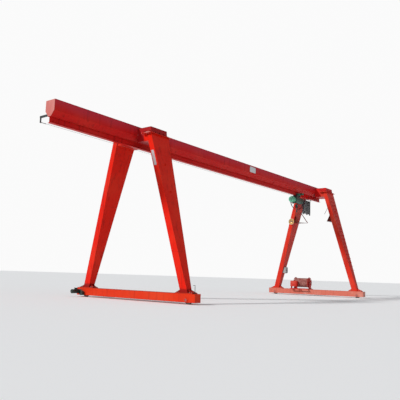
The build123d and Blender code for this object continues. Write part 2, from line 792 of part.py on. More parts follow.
def festoon_loops():
    loops = []
    for i in range(carrier_count - 1):
        x = carrier_first + i * carrier_pitch
        loops.append(hanging_loop(x + cable_grip, x + carrier_pitch - cable_grip,
                                  loop_depth - loop_stagger * (i % 3)))
    return loops[0] + loops[1:]


def festoon_lead():
    """The slack cable from the tow arm to the first carrier, with the sag seen in the photograph."""
    tow_x = hoist_x + trolley_length / 2 - 60
    tow_z = runway_bottom - tie_bar_drop - 25
    end_x = carrier_first - cable_grip
    gap = end_x - tow_x
    points = [(tow_x, tow_z), (tow_x, tow_z - lead_start)]
    points += [(tow_x + along * gap, tow_z - drop) for along, drop in ((0.18, 760), (0.48, 940), (0.8, 780))]
    points += [(end_x, tow_z - lead_start), (end_x, cable_top)]
    path = FilletPolyline(*[(x, festoon_side, z) for x, z in points], radius=lead_bend)
    return cable(path, (tow_x, festoon_side, tow_z))


def reel_drum():
    """The cable reel: a hollow core and a shaft between two flanges with round windows."""
    middle = (reel_core_radius + reel_flange_radius) / 2
    shaft = reel_shaft_radius
    outline = [(reel_start - 70, 0), (reel_start - 70, shaft), (reel_start, shaft),
               (reel_start, reel_flange_radius), (reel_start + plate, reel_flange_radius),
               (reel_start + plate, reel_core_radius), (reel_end - plate, reel_core_radius),
               (reel_end - plate, reel_flange_radius), (reel_end, reel_flange_radius), (reel_end, shaft),
               (reel_end + 70, shaft), (reel_end + 70, 0)]
    drum = turned_y(outline)
    inside = reel_core_radius - plate
    drum -= turned_y([(reel_start + plate, shaft), (reel_start + plate, inside), (reel_end - plate, inside),
                      (reel_end - plate, shaft)])
    for i in range(reel_windows):
        window = rod_y(reel_window_radius, middle, (reel_start - 1, reel_start + plate + 1), 0)
        window += rod_y(reel_window_radius, middle, (reel_end - plate - 1, reel_end + 1), 0)
        drum -= Rot(0, 360 * i / reel_windows, 0) * window
    return Pos(reel_x, 0, reel_z) * drum


def reel_cable():
    """Turns of cable side by side on the core."""
    low, high = reel_start + plate + 1, reel_end - plate - 1
    pitch = (high - low) / reel_turns
    outline = [(low, reel_core_radius + 0.5)]
    for i in range(reel_turns):
        start = low + i * pitch
        outline += [(start, reel_wound_radius - pitch / 3), (start + pitch / 2, reel_wound_radius)]
    outline += [(high, reel_wound_radius - pitch / 3), (high, reel_core_radius + 0.5)]
    return Pos(reel_x, 0, reel_z) * turned_y(outline)


def reel_stand():
    """A frame of rails across the ground beam, with a raking post under each end of the shaft."""
    low, high = beam_top, beam_top + reel_base
    x = (reel_x - 770, reel_x + 430)
    y = (reel_start - 130, reel_end + 200)
    base = box(x, y, (low, high))
    middle = (y[0] + y[1]) / 2
    for bay in ((y[0] + reel_rail, middle - reel_rail / 2), (middle + reel_rail / 2, y[1] - reel_rail)):
        base -= box((x[0] + reel_rail, x[1] - reel_rail), bay, (low - 1, high + 1))
    for start in (reel_start - 60, reel_end + 40):
        post = plate_xz([(reel_x - 260, high), (reel_x + 260, high), (reel_x + 80, reel_z + 60),
                         (reel_x - 80, reel_z + 60)], (start, start + 20))
        post += box((reel_x - 300, reel_x + 300), (start - 30, start + 50), (high - 1, high + 14))
        post += rod_y(75, reel_x, (start, start + 20), reel_z)
        base += post - rod_y(reel_shaft_radius + running_gap, reel_x, (start - 1, start + 21), reel_z)
    for start in (reel_start - 60, reel_end + 40):
        base += box((reel_x - 300, reel_x + 300), (start - 30, start + 50), (low, high))
    return base


def reel_box():
    """The reel's drive and slip ring box, on two feet, with a raised door towards the long cantilever."""
    low = beam_top + reel_base
    x = (reel_x - 760, reel_x - reel_flange_radius - 20)
    y = (reel_end - 470, reel_end + 150)
    body = chamfer(box(x, y, (low + 170, low + 670)).edges().filter_by(Axis.X), 40)
    body += box((x[0] - 8, x[0] + 1), (y[0] + 60, y[1] - 60), (low + 225, low + 615))
    for foot_y in (y[0] + 40, y[1] - 80):
        body += box((x[0] + 30, x[1] - 30), (foot_y, foot_y + 40), (low, low + 171))
    return body


def leg_at(frame_x):
    return Pos(frame_x, 0, 0) * leg_tube(0, leg_foot_z, leg_head_z)


def leg_bracket(side, reach_near, reach_far):
    """A step bracket on a far leg's inner face: a tread plate, a gusset and a raking strut."""
    z, thick = step_height, step_plate
    near_x, far_x = far_frame - step_half, far_frame + step_half
    inner = leg_inner(z)
    tread = plate_xy([(near_x, inner), (near_x, inner - reach_near), (far_x, inner - reach_far),
                      (far_x, inner)], (z, z + thick))
    high = z + step_rise
    gusset = plate_yz([(inner + 10, z + thick), (inner - reach_near, z + thick),
                       (leg_inner(high) + 10, high)], (near_x, near_x + thick))
    top = z + 1.6 * step_rise
    strut = plate_yz([(inner - reach_far, z + thick), (inner - reach_far + 60, z + thick),
                      (leg_inner(top) + 10, top - 60), (leg_inner(top) + 10, top + 10)],
                     (far_x - 60, far_x))
    return mirror_side(tread + gusset + strut - leg_at(far_frame), side)


def leg_stay():
    """The thin stay that stands off the far right leg above its step bracket."""
    top = step_height + step_rise + stay_drop
    start = (0, leg_inner(top) + 20, top)
    end = (0, leg_inner(top) - stay_reach, top - stay_drop)
    stay = sweep(Plane(origin=start, z_dir=(0, end[1] - start[1], end[2] - start[2])) * Circle(stay_radius),
                 path=Line(start, end))
    place = Pos(far_frame - step_half, 0, 0) * stay
    return mirror_side(place - leg_at(far_frame), -1)


def leg_lamp():
    """A round floodlight on the near face of the far left leg: a flared shade with a rim, its
    closed back and the arm that carries it."""
    z = step_height + lamp_stand_off
    y = leg_inner(z) + 70
    face = far_frame - leg_half(z)
    back = face - 90
    depth = lamp_depth
    outline = [(0, 0), (0, 110), (-50, 150), (-depth + 40, lamp_radius - 8), (-depth + 26, lamp_radius),
               (-depth, lamp_radius), (-depth, lamp_radius - 30), (-70, 120), (-70, 0)]
    shade = Pos(back, y, z) * turned_x(outline)
    arm = box((back - 20, face + 40), (y - 30, y + 30), (z - 30, z + 30))
    plate_on_leg = box((face - 30, face + 40), (y - 60, y + 60), (z - 110, z + 110))
    return shade + arm + plate_on_leg - leg_at(far_frame)


def control_cabinet():
    """The cabinet on the far left leg, with a raised door, a rain roof and a gland plate."""
    low, high = cabinet_low, cabinet_low + cabinet_height
    inner = leg_inner(high)
    front = inner - cabinet_depth
    x = (far_frame - cabinet_half, far_frame + cabinet_half)
    body = box(x, (front, leg_inner(low) + 40), (low, high))
    body += box((x[0] + 20, x[1] - 20), (front - 8, front + 1), (low + 20, high - 25))
    body += box((x[0] - 15, x[1] + 15), (front - 25, leg_inner(high) + 40), (high - 1, high + 12))
    body += box((x[0] + 70, x[1] - 70), (front + 50, inner - 40), (low - 20, low + 1))
    return body - leg_at(far_frame)


def climb_rungs():
    """U-shaped rungs up the outer face of the far right leg."""
    count = int((leg_head_z - rung_pitch - rung_low) / rung_pitch) + 1
    wide, inside = rung_half, rung_half - rung_size
    rungs = []
    for i in range(count):
        z = rung_low + i * rung_pitch
        face = leg_outer(z)
        rung = box((-wide, wide), (face - 30, face + rung_reach), (z, z + rung_size))
        rung -= box((-inside, inside), (face - 40, face + rung_reach - rung_size), (z - 1, z + rung_size + 1))
        rungs.append(Pos(far_frame, 0, 0) * rung - leg_at(far_frame))
    return mirror_side(rungs[0] + rungs[1:], -1)


def storm_pin():
    """The pin with a bent handle that stands in the near beam's right end."""
    y = -(foot_middle + pad_length / 2) - 40
    z = beam_top
    body = rod_z(30, 0, y, (z, z + 60)) + rod_z(14, 0, y, (z + 60, z + 430))
    body += rod_y(12, 0, (y - 12, y + 110), z + 420)
    return Pos(near_frame - 60, 0, 0) * body


parts = {
    "girder_box": girder_box(),
    "girder_end_plate_near": girder_end_plate(near_end),
    "girder_end_plate_far": girder_end_plate(far_end - plate),
    "runway_beam": runway_beam(),
    "runway_stop_near": runway_stop(near_end + stop_from_near_end, 1),
    "runway_stop_far": runway_stop(far_frame - stop_from_far_legs, -1),
    "ground_beam_near": ground_beam(near_frame),
    "ground_beam_far": ground_beam(far_frame),
    "travel_drive_near": travel_drive(near_frame, -1),
    "travel_drive_far": travel_drive(far_frame, 1),
    "festoon_wire": festoon_wire(),
    "festoon_arms": festoon_arms(),
    "festoon_carriers": festoon_carriers(),
    "festoon_loops": festoon_loops(),
    "festoon_lead": festoon_lead(),
    "leg_bracket_far_left": leg_bracket(1, step_reach, step_long_reach),
    "leg_bracket_far_right": leg_bracket(-1, step_reach, step_reach) + leg_stay(),
    "leg_lamp": leg_lamp(),
    "control_cabinet": control_cabinet(),
    "climb_rungs": climb_rungs(),
    "storm_pin": storm_pin(),
    "reel_stand": reel_stand(),
    "reel_box": reel_box(),
    "reel_drum": reel_drum(),
    "reel_cable": reel_cable(),
    "trolley_frame": trolley_frame(),
    "trolley_motor": trolley_motor(),
    "hoist_case": hoist_case(),
    "hoist_drum": hoist_drum(),
    "hoist_motor": hoist_motor(),
    "hoist_gearbox": hoist_gearbox(),
    "hoist_control_box": hoist_control_box(),
    "tow_arm": tow_arm(),
    "hook_block": hook_block(),
    "hook": hook(),
    "hoist_ropes": hoist_ropes(),
}
for frame_name, frame_x in (("near", near_frame), ("far", far_frame)):
    for side_name, side in (("left", 1), ("right", -1)):
        parts[f"leg_{frame_name}_{side_name}"] = leg(frame_x, side)
        parts[f"saddle_{frame_name}_{side_name}"] = saddle(frame_x, side)
        parts[f"travel_wheel_{frame_name}_{side_name}"] = travel_wheel(frame_x, side * wheel_place)
for index in range(4):
    parts[f"trolley_wheel_{index + 1}"] = trolley_wheel(index)

os.makedirs("parts", exist_ok=True)
for name, shape in parts.items():
    export_step(shape, f"parts/{name}.step")
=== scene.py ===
import math
import random
import bpy
import bmesh
from mathutils import Matrix, Vector


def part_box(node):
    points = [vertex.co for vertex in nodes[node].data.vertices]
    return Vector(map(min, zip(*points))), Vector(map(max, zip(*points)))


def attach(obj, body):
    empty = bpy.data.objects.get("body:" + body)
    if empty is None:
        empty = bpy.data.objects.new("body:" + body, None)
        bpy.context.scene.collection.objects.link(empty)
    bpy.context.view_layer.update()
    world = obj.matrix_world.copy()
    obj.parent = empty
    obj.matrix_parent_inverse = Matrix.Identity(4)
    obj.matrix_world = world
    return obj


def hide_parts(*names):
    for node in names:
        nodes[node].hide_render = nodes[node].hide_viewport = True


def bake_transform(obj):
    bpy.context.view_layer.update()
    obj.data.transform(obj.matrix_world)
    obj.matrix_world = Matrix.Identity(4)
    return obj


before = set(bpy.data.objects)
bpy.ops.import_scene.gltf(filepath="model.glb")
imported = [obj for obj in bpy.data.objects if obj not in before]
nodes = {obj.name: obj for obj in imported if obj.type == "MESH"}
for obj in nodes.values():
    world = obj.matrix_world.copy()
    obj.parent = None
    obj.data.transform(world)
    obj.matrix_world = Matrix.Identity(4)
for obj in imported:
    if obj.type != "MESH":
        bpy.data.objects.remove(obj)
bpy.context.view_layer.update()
dice = random.Random(7)
print("frame loaded", len(nodes), "nodes")

# camera, where the photograph was taken from
cameraPlace = {"spot": (-29.46023, -20.69917, 1.46927), "yaw": 37.996, "pitch": 8.171, "roll": 1.826,
               "lens": 47.14}


def addObject(name, data):
    made = bpy.data.objects.new(name, data)
    bpy.context.scene.collection.objects.link(made)
    return made


def placeCamera(place):
    yaw, pitch, roll = (math.radians(place[key]) for key in ("yaw", "pitch", "roll"))
    ahead = Vector((math.cos(yaw) * math.cos(pitch), math.sin(yaw) * math.cos(pitch), math.sin(pitch)))
    level = Vector((math.sin(yaw), -math.cos(yaw), 0))
    upright = level.cross(ahead)
    right = math.cos(roll) * level + math.sin(roll) * upright
    up = -math.sin(roll) * level + math.cos(roll) * upright
    data = bpy.data.cameras.new("camera")
    data.lens = place["lens"]
    data.sensor_width = 36
    data.clip_end = 500
    camera = addObject("camera", data)
    turn = Matrix((right, up, -ahead)).transposed().to_4x4()
    camera.matrix_world = Matrix.Translation(place["spot"]) @ turn
    bpy.context.scene.camera = camera


placeCamera(cameraPlace)


# shader maths as expressions
class Wire:
    def __init__(self, finish, out):
        self.finish = finish
        self.out = out

    def join(self, operation, first, second):
        return self.finish.node("ShaderNodeMath", {"operation": operation}, {0: first, 1: second})

    def __add__(self, other):
        return self.join("ADD", self, other)

    def __radd__(self, other):
        return self.join("ADD", other, self)

    def __rsub__(self, other):
        return self.join("SUBTRACT", other, self)

    def __mul__(self, other):
        return self.join("MULTIPLY", self, other)

    def __rmul__(self, other):
        return self.join("MULTIPLY", other, self)

    def highest(self, other):
        return self.join("MAXIMUM", self, other)

    def wave(self):
        return self.finish.node("ShaderNodeMath", {"operation": "SINE"}, {0: self})

    def away(self, spacing):  # distance to the nearest multiple of the spacing
        return self.finish.node("ShaderNodeMath", {"operation": "PINGPONG"}, {0: self, 1: spacing / 2})


class Finish:
    def __init__(self, name):
        self.material = bpy.data.materials.new(name)
        self.material.use_nodes = True
        self.tree = self.material.node_tree
        self.tree.nodes.clear()
        self.place = self.node("ShaderNodeTexCoord", {}, {}, "Object")

    def node(self, kind, settings, sockets, out=0):
        made = self.tree.nodes.new(kind)
        for key, value in settings.items():
            if key == "stops":
                ramp = made.color_ramp
                while len(ramp.elements) < len(value):
                    ramp.elements.new(0.5)
                for element, (at, colour) in zip(ramp.elements, value):
                    element.position = at
                    element.color = (*colour, 1)
            else:
                setattr(made, key, value)
        for key, value in sockets.items():
            if isinstance(value, Wire):
                self.tree.links.new(value.out, made.inputs[key])
            else:
                made.inputs[key].default_value = value
        return Wire(self, made.outputs[out]) if made.outputs else None

    def stretched(self, x, y, z):
        return self.node("ShaderNodeMapping", {}, {"Vector": self.place, "Scale": (x, y, z)})

    def axis(self, letter):
        return self.node("ShaderNodeSeparateXYZ", {}, {0: self.place}, "XYZ".index(letter))

    def noise(self, scale, detail=3.0, roughness=0.55, at=None):
        return self.node("ShaderNodeTexNoise", {}, {"Vector": at or self.place, "Scale": scale,
                                                   "Detail": detail, "Roughness": roughness})

    def cells(self, scale, at=None, out="Distance"):
        return self.node("ShaderNodeTexVoronoi", {}, {"Vector": at or self.place, "Scale": scale}, out)

    def band(self, value, low, high):  # 0 below low, 1 above high
        return self.node("ShaderNodeMapRange", {"interpolation_type": "SMOOTHSTEP"},
                         {0: value, 1: low, 2: high, 3: 0.0, 4: 1.0})

    def blendColours(self, share, first, second):
        first, second = (c if isinstance(c, Wire) else (*c, 1) for c in (first, second))
        return self.node("ShaderNodeMix", {"data_type": "RGBA"}, {0: share, 6: first, 7: second}, 2)

    def upward(self):  # 1 on faces that look up
        normal = self.node("ShaderNodeTexCoord", {}, {}, "Normal")
        return self.band(self.node("ShaderNodeSeparateXYZ", {}, {0: normal}, 2), 0.35, 0.95)

    def edges(self, radius):  # 1 along sharp edges
        soft = self.node("ShaderNodeBevel", {"samples": 4}, {"Radius": radius})
        flat = self.node("ShaderNodeNewGeometry", {}, {}, "Normal")
        alike = self.node("ShaderNodeVectorMath", {"operation": "DOT_PRODUCT"}, {0: soft, 1: flat}, "Value")
        return self.band(1 - alike, 0.02, 0.16)

    def relief(self, height, strength, distance, under=None):
        sockets = {"Height": height, "Strength": strength, "Distance": distance}
        if under:
            sockets["Normal"] = under
        return self.node("ShaderNodeBump", {}, sockets)

    def done(self, colour, roughness, metal=0.0, normal=None, coat=0.0, coatRoughness=0.2, sheen=0.0,
             specular=0.5, tint=(1, 1, 1)):
        sockets = {"Base Color": colour if isinstance(colour, Wire) else (*colour, 1), "Roughness": roughness,
                   "Metallic": metal, "Coat Weight": coat, "Coat Roughness": coatRoughness,
                   "Sheen Weight": sheen, "Specular IOR Level": specular,
                   "Specular Tint": (*tint, 1)}
        if normal:
            sockets["Normal"] = normal
        surface = self.node("ShaderNodeBsdfPrincipled", {}, sockets)
        self.node("ShaderNodeOutputMaterial", {}, {0: surface})
        return self.material


def makeRed(name, look):
    # enamel on plate steel: sun fading, rain streaks, dust on ledges, worn edges with rust; also painted
    # light: a painted highlight along the edges, painted shade at the foot and a painted highlight at the
    # head joint
    paint = Finish(name)
    fade = paint.band(paint.noise(0.55, 4), 0.42, 0.7)
    streak = paint.noise(1.0, 5, 0.6, paint.stretched(5.5, 5.5, 0.28))
    blotch = paint.noise(7.0, 5, 0.65)
    colour = paint.blendColours(fade * look["fading"], look["colour"], look["faded"])
    colour = paint.blendColours(paint.band(streak, 0.52, 0.72) * look["streaks"], colour, look["grime"])
    colour = paint.blendColours(paint.band(blotch, 0.55, 0.8) * 0.25, colour, look["grime"])
    dust = paint.upward() * paint.band(paint.noise(2.6, 5), 0.3, 0.62)
    colour = paint.blendColours(dust * look["dust"], colour, (0.36, 0.22, 0.17))
    edge = paint.edges(look["edge"])
    chips = edge * paint.band(paint.noise(38.0, 4, 0.7), 0.47, 0.62)
    specks = paint.band(paint.noise(21.0, 6, 0.72), 0.69, 0.75)
    wear = chips.highest(specks * look["specks"])
    # every edge lighter: partly worn paint, partly a painted highlight along the edges
    colour = paint.blendColours(edge * 0.3, colour, look["faded"])
    rust = paint.blendColours(paint.noise(90.0, 3), (0.085, 0.028, 0.014), (0.24, 0.085, 0.035))
    colour = paint.blendColours(wear * look["wear"], colour, rust)
    peel = paint.relief(paint.noise(260.0, 2), 0.10, 0.002)
    waves = paint.relief(paint.noise(1.7, 2), 0.5, 0.012, peel)
    if look.get("seams"):  # welded butt joints across the plates
        letter, spacing = look["seams"]
        seam = 1 - paint.band(paint.axis(letter).away(spacing), 0.004, 0.018)
        colour = paint.blendColours(seam * 0.25, colour, look["grime"])
        waves = paint.relief(seam, 0.3, 0.006, waves)
    if look.get("chalk"):  # the top edge, chalked by the weather
        low, high = look["chalk"]
        chalked = paint.band(paint.axis("Z") + paint.noise(0.8, 4) * 0.3, low, high)
        colour = paint.blendColours(chalked * 0.45, colour, (0.38, 0.045, 0.085))
    if look.get("foot"):  # painted shade round the foot flange: darker towards the bottom of the near legs, in the grime colour
        low, high = look["foot"]
        dirt = 1 - paint.band(paint.axis("Z") + paint.noise(3.0, 4) * 0.12, low, high)
        colour = paint.blendColours(dirt * 0.78, colour, look["grime"])
    if look.get("primer"):  # pale flakes at the head joint, on the -X side only: partly flaked top coat, partly a painted highlight of the sunlit flange edges
        low, high = look["primer"]
        joint = paint.band(paint.axis("Z"), low - 0.01, low)
        joint = joint * (1 - paint.band(paint.axis("Z"), high, high + 0.01))
        joint = joint * (1 - paint.band(paint.axis("X"), -9.36, -9.24))
        highlightFlakes = joint * paint.band(paint.noise(5.0, 4, 0.6), 0.50, 0.56)
        colour = paint.blendColours(highlightFlakes * 0.85, colour, (0.72, 0.36, 0.34))
    lumps = paint.relief(1 - wear, 0.35, 0.0012, waves)
    rough = look["gloss"] + dust * 0.3 + wear * 0.4 + paint.band(streak, 0.5, 0.75) * 0.14
    return paint.done(colour, rough, normal=lumps, coatRoughness=0.3, specular=look["specular"],
                      tint=(1, 0.3, 0.22))


redLook = {"colour": (0.58, 0.011, 0.011), "faded": (0.63, 0.040, 0.026), "grime": (0.17, 0.006, 0.007),
           "fading": 0.5, "streaks": 0.42, "dust": 0.5, "edge": 0.018, "wear": 0.9, "specks": 0.6,
           "gloss": 0.36, "specular": 0.22}
seamEvery = {"girder": 3.71, "leg": 2.63, "beam": 3.1}  # length of one plate


def mixRed(name, **changes):
    return makeRed(name, {**redLook, **changes})


red = mixRed("redEnamel")
girderRed = mixRed("girderRed", seams=("X", seamEvery["girder"]), fading=0.4, specular=0.16, streaks=0.5,
                   chalk=(9.15, 9.72))
# the foot band of the near legs is painted shade of the foot flange
legRed = mixRed("legRed", colour=(0.70, 0.012, 0.004), faded=(0.74, 0.036, 0.014), specular=0.2,
                seams=("Z", seamEvery["leg"]), primer=(9.04, 9.10), foot=(0.76, 0.90))
# darker copy of the red for the near saddles: painted shade, where the girder shades their -X faces
saddleShadeRed = mixRed("saddleShadeRed", colour=(0.36, 0.010, 0.013), faded=(0.46, 0.030, 0.028), primer=(9.07, 9.13))
beamRed = mixRed("beamRed", colour=(0.63, 0.032, 0.008), faded=(0.66, 0.062, 0.02), streaks=0.28, specks=1.0,
                 seams=("Y", seamEvery["beam"]))
# much darker copy of the red for the leg brackets: painted shade
bracketShadeRed = mixRed("bracketShadeRed", colour=(0.10, 0.016, 0.013), faded=(0.19, 0.045, 0.03))
farRed = mixRed("farRed", colour=(0.60, 0.028, 0.015), faded=(0.66, 0.10, 0.06), fading=0.7,
                seams=("Z", seamEvery["leg"]))
farBeamRed = mixRed("farBeamRed", colour=(0.56, 0.15, 0.105), faded=(0.60, 0.33, 0.27), fading=0.9,
                    specks=1.0, streaks=0.3, seams=("Y", seamEvery["beam"]))
# pale pink copy of the red for the near end plate: partly sun bleaching, partly painted light of the strongly
# lit end face
paleLitRed = mixRed("paleLitRed", colour=(0.55, 0.16, 0.14), faded=(0.64, 0.27, 0.24), grime=(0.36, 0.07, 0.06),
                 streaks=0.3)
reelRed = mixRed("reelRed", colour=(0.52, 0.020, 0.012), faded=(0.60, 0.12, 0.09), fading=0.9, edge=0.008)


def makePaint(name, look):
    # machine paint on castings and sheet: small scale wear, oily dirt in the low places
    paint = Finish(name)
    patch = paint.band(paint.noise(look["scale"], 5, 0.6), 0.45, 0.7)
    colour = paint.blendColours(patch * 0.5, look["colour"], look["faded"])
    oily = paint.band(paint.noise(look["scale"] * 2.3, 4, 0.6, paint.stretched(1.6, 1.6, 0.5)), 0.55, 0.72)
    colour = paint.blendColours(oily * look["dirt"], colour, look["grime"])
    dust = paint.upward() * paint.band(paint.noise(14.0, 5), 0.3, 0.6)
    colour = paint.blendColours(dust * 0.4, colour, (0.30, 0.27, 0.23))
    edge = paint.edges(look["edge"])
    chips = edge * paint.band(paint.noise(75.0, 4, 0.7), 0.45, 0.6)
    colour = paint.blendColours(chips * look["wear"], colour, look["under"])
    cast = paint.relief(paint.noise(look["grain"], 3, 0.6), look["cast"], 0.0015)
    normal = paint.relief(1 - chips, 0.3, 0.0008, cast)
    return paint.done(colour, look["gloss"] + oily * 0.12 + dust * 0.3, 0.0, normal, 0.1, 0.25)


machineLook = {"scale": 3.0, "dirt": 0.5, "edge": 0.006, "wear": 0.8, "grain": 220.0, "cast": 0.25,
               "gloss": 0.38, "grime": (0.02, 0.02, 0.018), "under": (0.16, 0.14, 0.12)}


def mixPaint(name, **changes):
    return makePaint(name, {**machineLook, **changes})


tealLight = mixPaint("tealCowl", colour=(0.10, 0.43, 0.27), faded=(0.20, 0.52, 0.37), dirt=0.3)
teal = mixPaint("tealEnamel", colour=(0.035, 0.20, 0.125), faded=(0.07, 0.27, 0.18))
# darker copy of the teal for the hoist case and gearbox: painted shade under the girder
hoistShadeGreen = mixPaint("hoistShadeGreen", colour=(0.016, 0.070, 0.048), faded=(0.035, 0.115, 0.082))
dark = mixPaint("darkEnamel", colour=(0.018, 0.024, 0.023), faded=(0.045, 0.052, 0.05))
motorGreen = mixPaint("motorGreen", colour=(0.007, 0.024, 0.016), faded=(0.018, 0.045, 0.033), cast=0.5)
grey = mixPaint("greyEnamel", colour=(0.30, 0.31, 0.30), faded=(0.40, 0.40, 0.39), cast=0.1, dirt=0.35)
yellow = mixPaint("yellowEnamel", colour=(0.66, 0.36, 0.06), faded=(0.74, 0.46, 0.14), cast=0.1, dirt=0.3)
plateWhite = mixPaint("signWhite", colour=(0.70, 0.71, 0.72), faded=(0.50, 0.51, 0.54), cast=0.05, dirt=0.35)
plateStained = mixPaint("signStained", colour=(0.47, 0.41, 0.41), faded=(0.42, 0.27, 0.26),
                        grime=(0.16, 0.05, 0.045), cast=0.05, scale=1.6)


def makeSteel(name, look):
    # bare steel: mottled scale, rust in patches, brushed or rolled grain
    steel = Finish(name)
    mottle = steel.noise(look["scale"], 6, 0.7)
    colour = steel.blendColours(mottle, look["colour"], look["light"])
    rusty = steel.band(steel.noise(look["scale"] * 0.6, 6, 0.75), look["clean"], look["clean"] + 0.14)
    rust = steel.blendColours(steel.noise(look["scale"] * 6, 3), (0.075, 0.026, 0.012), (0.22, 0.085, 0.036))
    colour = steel.blendColours(rusty, colour, rust)
    grain = steel.noise(look["grain"], 3, 0.6)
    normal = steel.relief(grain + rusty * 0.6, look["relief"], 0.001)
    return steel.done(colour, look["gloss"] + rusty * 0.4 + grain * 0.1, look["metal"] * (1 - rusty), normal)


wheelSteel = makeSteel("wheelSteel", {"colour": (0.17, 0.155, 0.145), "light": (0.34, 0.32, 0.30),
                                      "scale": 9.0, "clean": 0.52, "grain": 180.0, "relief": 0.4,
                                      "gloss": 0.38, "metal": 0.85})
forged = makeSteel("forgedSteel", {"colour": (0.07, 0.065, 0.062), "light": (0.16, 0.15, 0.14), "scale": 26.0,
                                   "clean": 0.6, "grain": 320.0, "relief": 0.5, "gloss": 0.45, "metal": 0.7})
zinc = makeSteel("zincSteel", {"colour": (0.36, 0.37, 0.37), "light": (0.56, 0.57, 0.57), "scale": 30.0,
                               "clean": 0.68, "grain": 90.0, "relief": 0.15, "gloss": 0.42, "metal": 0.8})
boltSteel = makeSteel("boltSteel", {"colour": (0.24, 0.22, 0.20), "light": (0.46, 0.43, 0.40), "scale": 40.0,
                                    "clean": 0.5, "grain": 260.0, "relief": 0.3, "gloss": 0.4, "metal": 0.7})


def makeRope(name):
    # laid wires: a helix drawn on each fall, greased
    rope = Finish(name)
    height = rope.axis("Z")
    side = rope.node("ShaderNodeTexCoord", {}, {}, "Normal")
    across = rope.node("ShaderNodeSeparateXYZ", {}, {0: side}, 0)
    along = rope.node("ShaderNodeSeparateXYZ", {}, {0: side}, 1)
    angle = rope.node("ShaderNodeMath", {"operation": "ARCTAN2"}, {0: across, 1: along})
    strands = rope.band((angle * 6 + height * 420).wave(), -0.9, 0.7)
    colour = rope.blendColours(strands, (0.03, 0.027, 0.024), (0.24, 0.22, 0.20))
    colour = rope.blendColours(rope.band(rope.noise(9.0, 4), 0.45, 0.7) * 0.6, colour, (0.05, 0.036, 0.026))
    return rope.done(colour, 0.5 - strands * 0.12, 0.6, rope.relief(strands, 0.9, 0.003))


ropeSteel = makeRope("ropeSteel")


def makeRubber(name, look):
    rubber = Finish(name)
    dusty = rubber.band(rubber.noise(look["scale"], 5, 0.6), 0.42, 0.7)
    colour = rubber.blendColours(dusty * look["dust"], look["colour"], look["dusty"])
    scuffs = rubber.band(rubber.noise(look["scale"] * 5, 4, 0.7), 0.62, 0.74)
    colour = rubber.blendColours(scuffs * 0.5, colour, look["dusty"])
    grain = rubber.relief(rubber.noise(look["grain"], 3), 0.2, 0.0008)
    return rubber.done(colour, 0.52 + dusty * 0.3, 0.0, grain, 0.0, 0.2, 0.05, 0.35)


rubber = makeRubber("blackRubber", {"colour": (0.012, 0.012, 0.013), "dusty": (0.09, 0.085, 0.08),
                                    "dust": 0.6, "scale": 12.0, "grain": 300.0})
sheath = makeRubber("cableSheath", {"colour": (0.007, 0.011, 0.015), "dusty": (0.028, 0.040, 0.048),
                                    "dust": 0.5, "scale": 5.0, "grain": 340.0})
reelSheath = makeRubber("reelSheath", {"colour": (0.30, 0.085, 0.07), "dusty": (0.52, 0.27, 0.23),
                                       "dust": 0.85, "scale": 7.0, "grain": 300.0})
print("finishes ready")


def finishPiece(name, shape, material, body, smooth=35, recalc=True):
    if recalc:
        bmesh.ops.remove_doubles(shape, verts=shape.verts, dist=0.00005)
        bmesh.ops.recalc_face_normals(shape, faces=shape.faces)
    mesh = bpy.data.meshes.new(name)
    shape.to_mesh(mesh)
    shape.free()
    mesh.shade_smooth()
    mesh.set_sharp_from_angle(angle=math.radians(smooth))
    mesh.materials.append(material)
    piece = addObject(name, mesh)
    if body:
        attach(piece, body)
    return piece


def splineCurve(name, points, radius, sides=5):
    data = bpy.data.curves.new(name, "CURVE")
    data.dimensions = "3D"
    data.resolution_u = 12
    line = data.splines.new("NURBS")
    line.points.add(len(points) - 1)
    for point, spot in zip(line.points, points):
        point.co = (*spot, 1)
    line.order_u = 3
    line.use_endpoint_u = True
    data.bevel_depth = radius
    data.bevel_resolution = sides
    data.use_fill_caps = True
    return data


def readMesh(data):
    holder = addObject("reading", data)
    mesh = bpy.data.meshes.new_from_object(holder)
    bpy.data.objects.remove(holder)
    return mesh


# festoon cable, gathered loops between the parked carriers and the slack lead to the trolley
festoon = {"side": 0.8, "top": 8.49, "first": 13.13, "pitch": 0.21, "grip": 0.02, "depth": 1.25,
           "stagger": 0.06, "radius": 0.012, "bulge": 0.003,
           "sway": (0.010, -0.006, 0.014, -0.012, 0.004, -0.010, 0.008),
           "rows": (-0.027, 0.0, 0.027), "spare": (0.035, 0.0, -0.025), "lengths": (2.61, 2.49, 2.37),
           "lead": ((10.77, 0, 8.376), (10.77, 0, 8.046), (11.191, 0.012, 7.616), (11.893, 0.02, 7.436),
                    (12.642, 0.012, 7.596), (13.11, 0, 8.046), (13.11, 0, 8.49)),  # x, sideways, z
           "leadSag": 0.018, "leadLength": 3.42, "stretchFrom": 11.0, "stretchTo": 12.95, "stretchZ": 7.8}


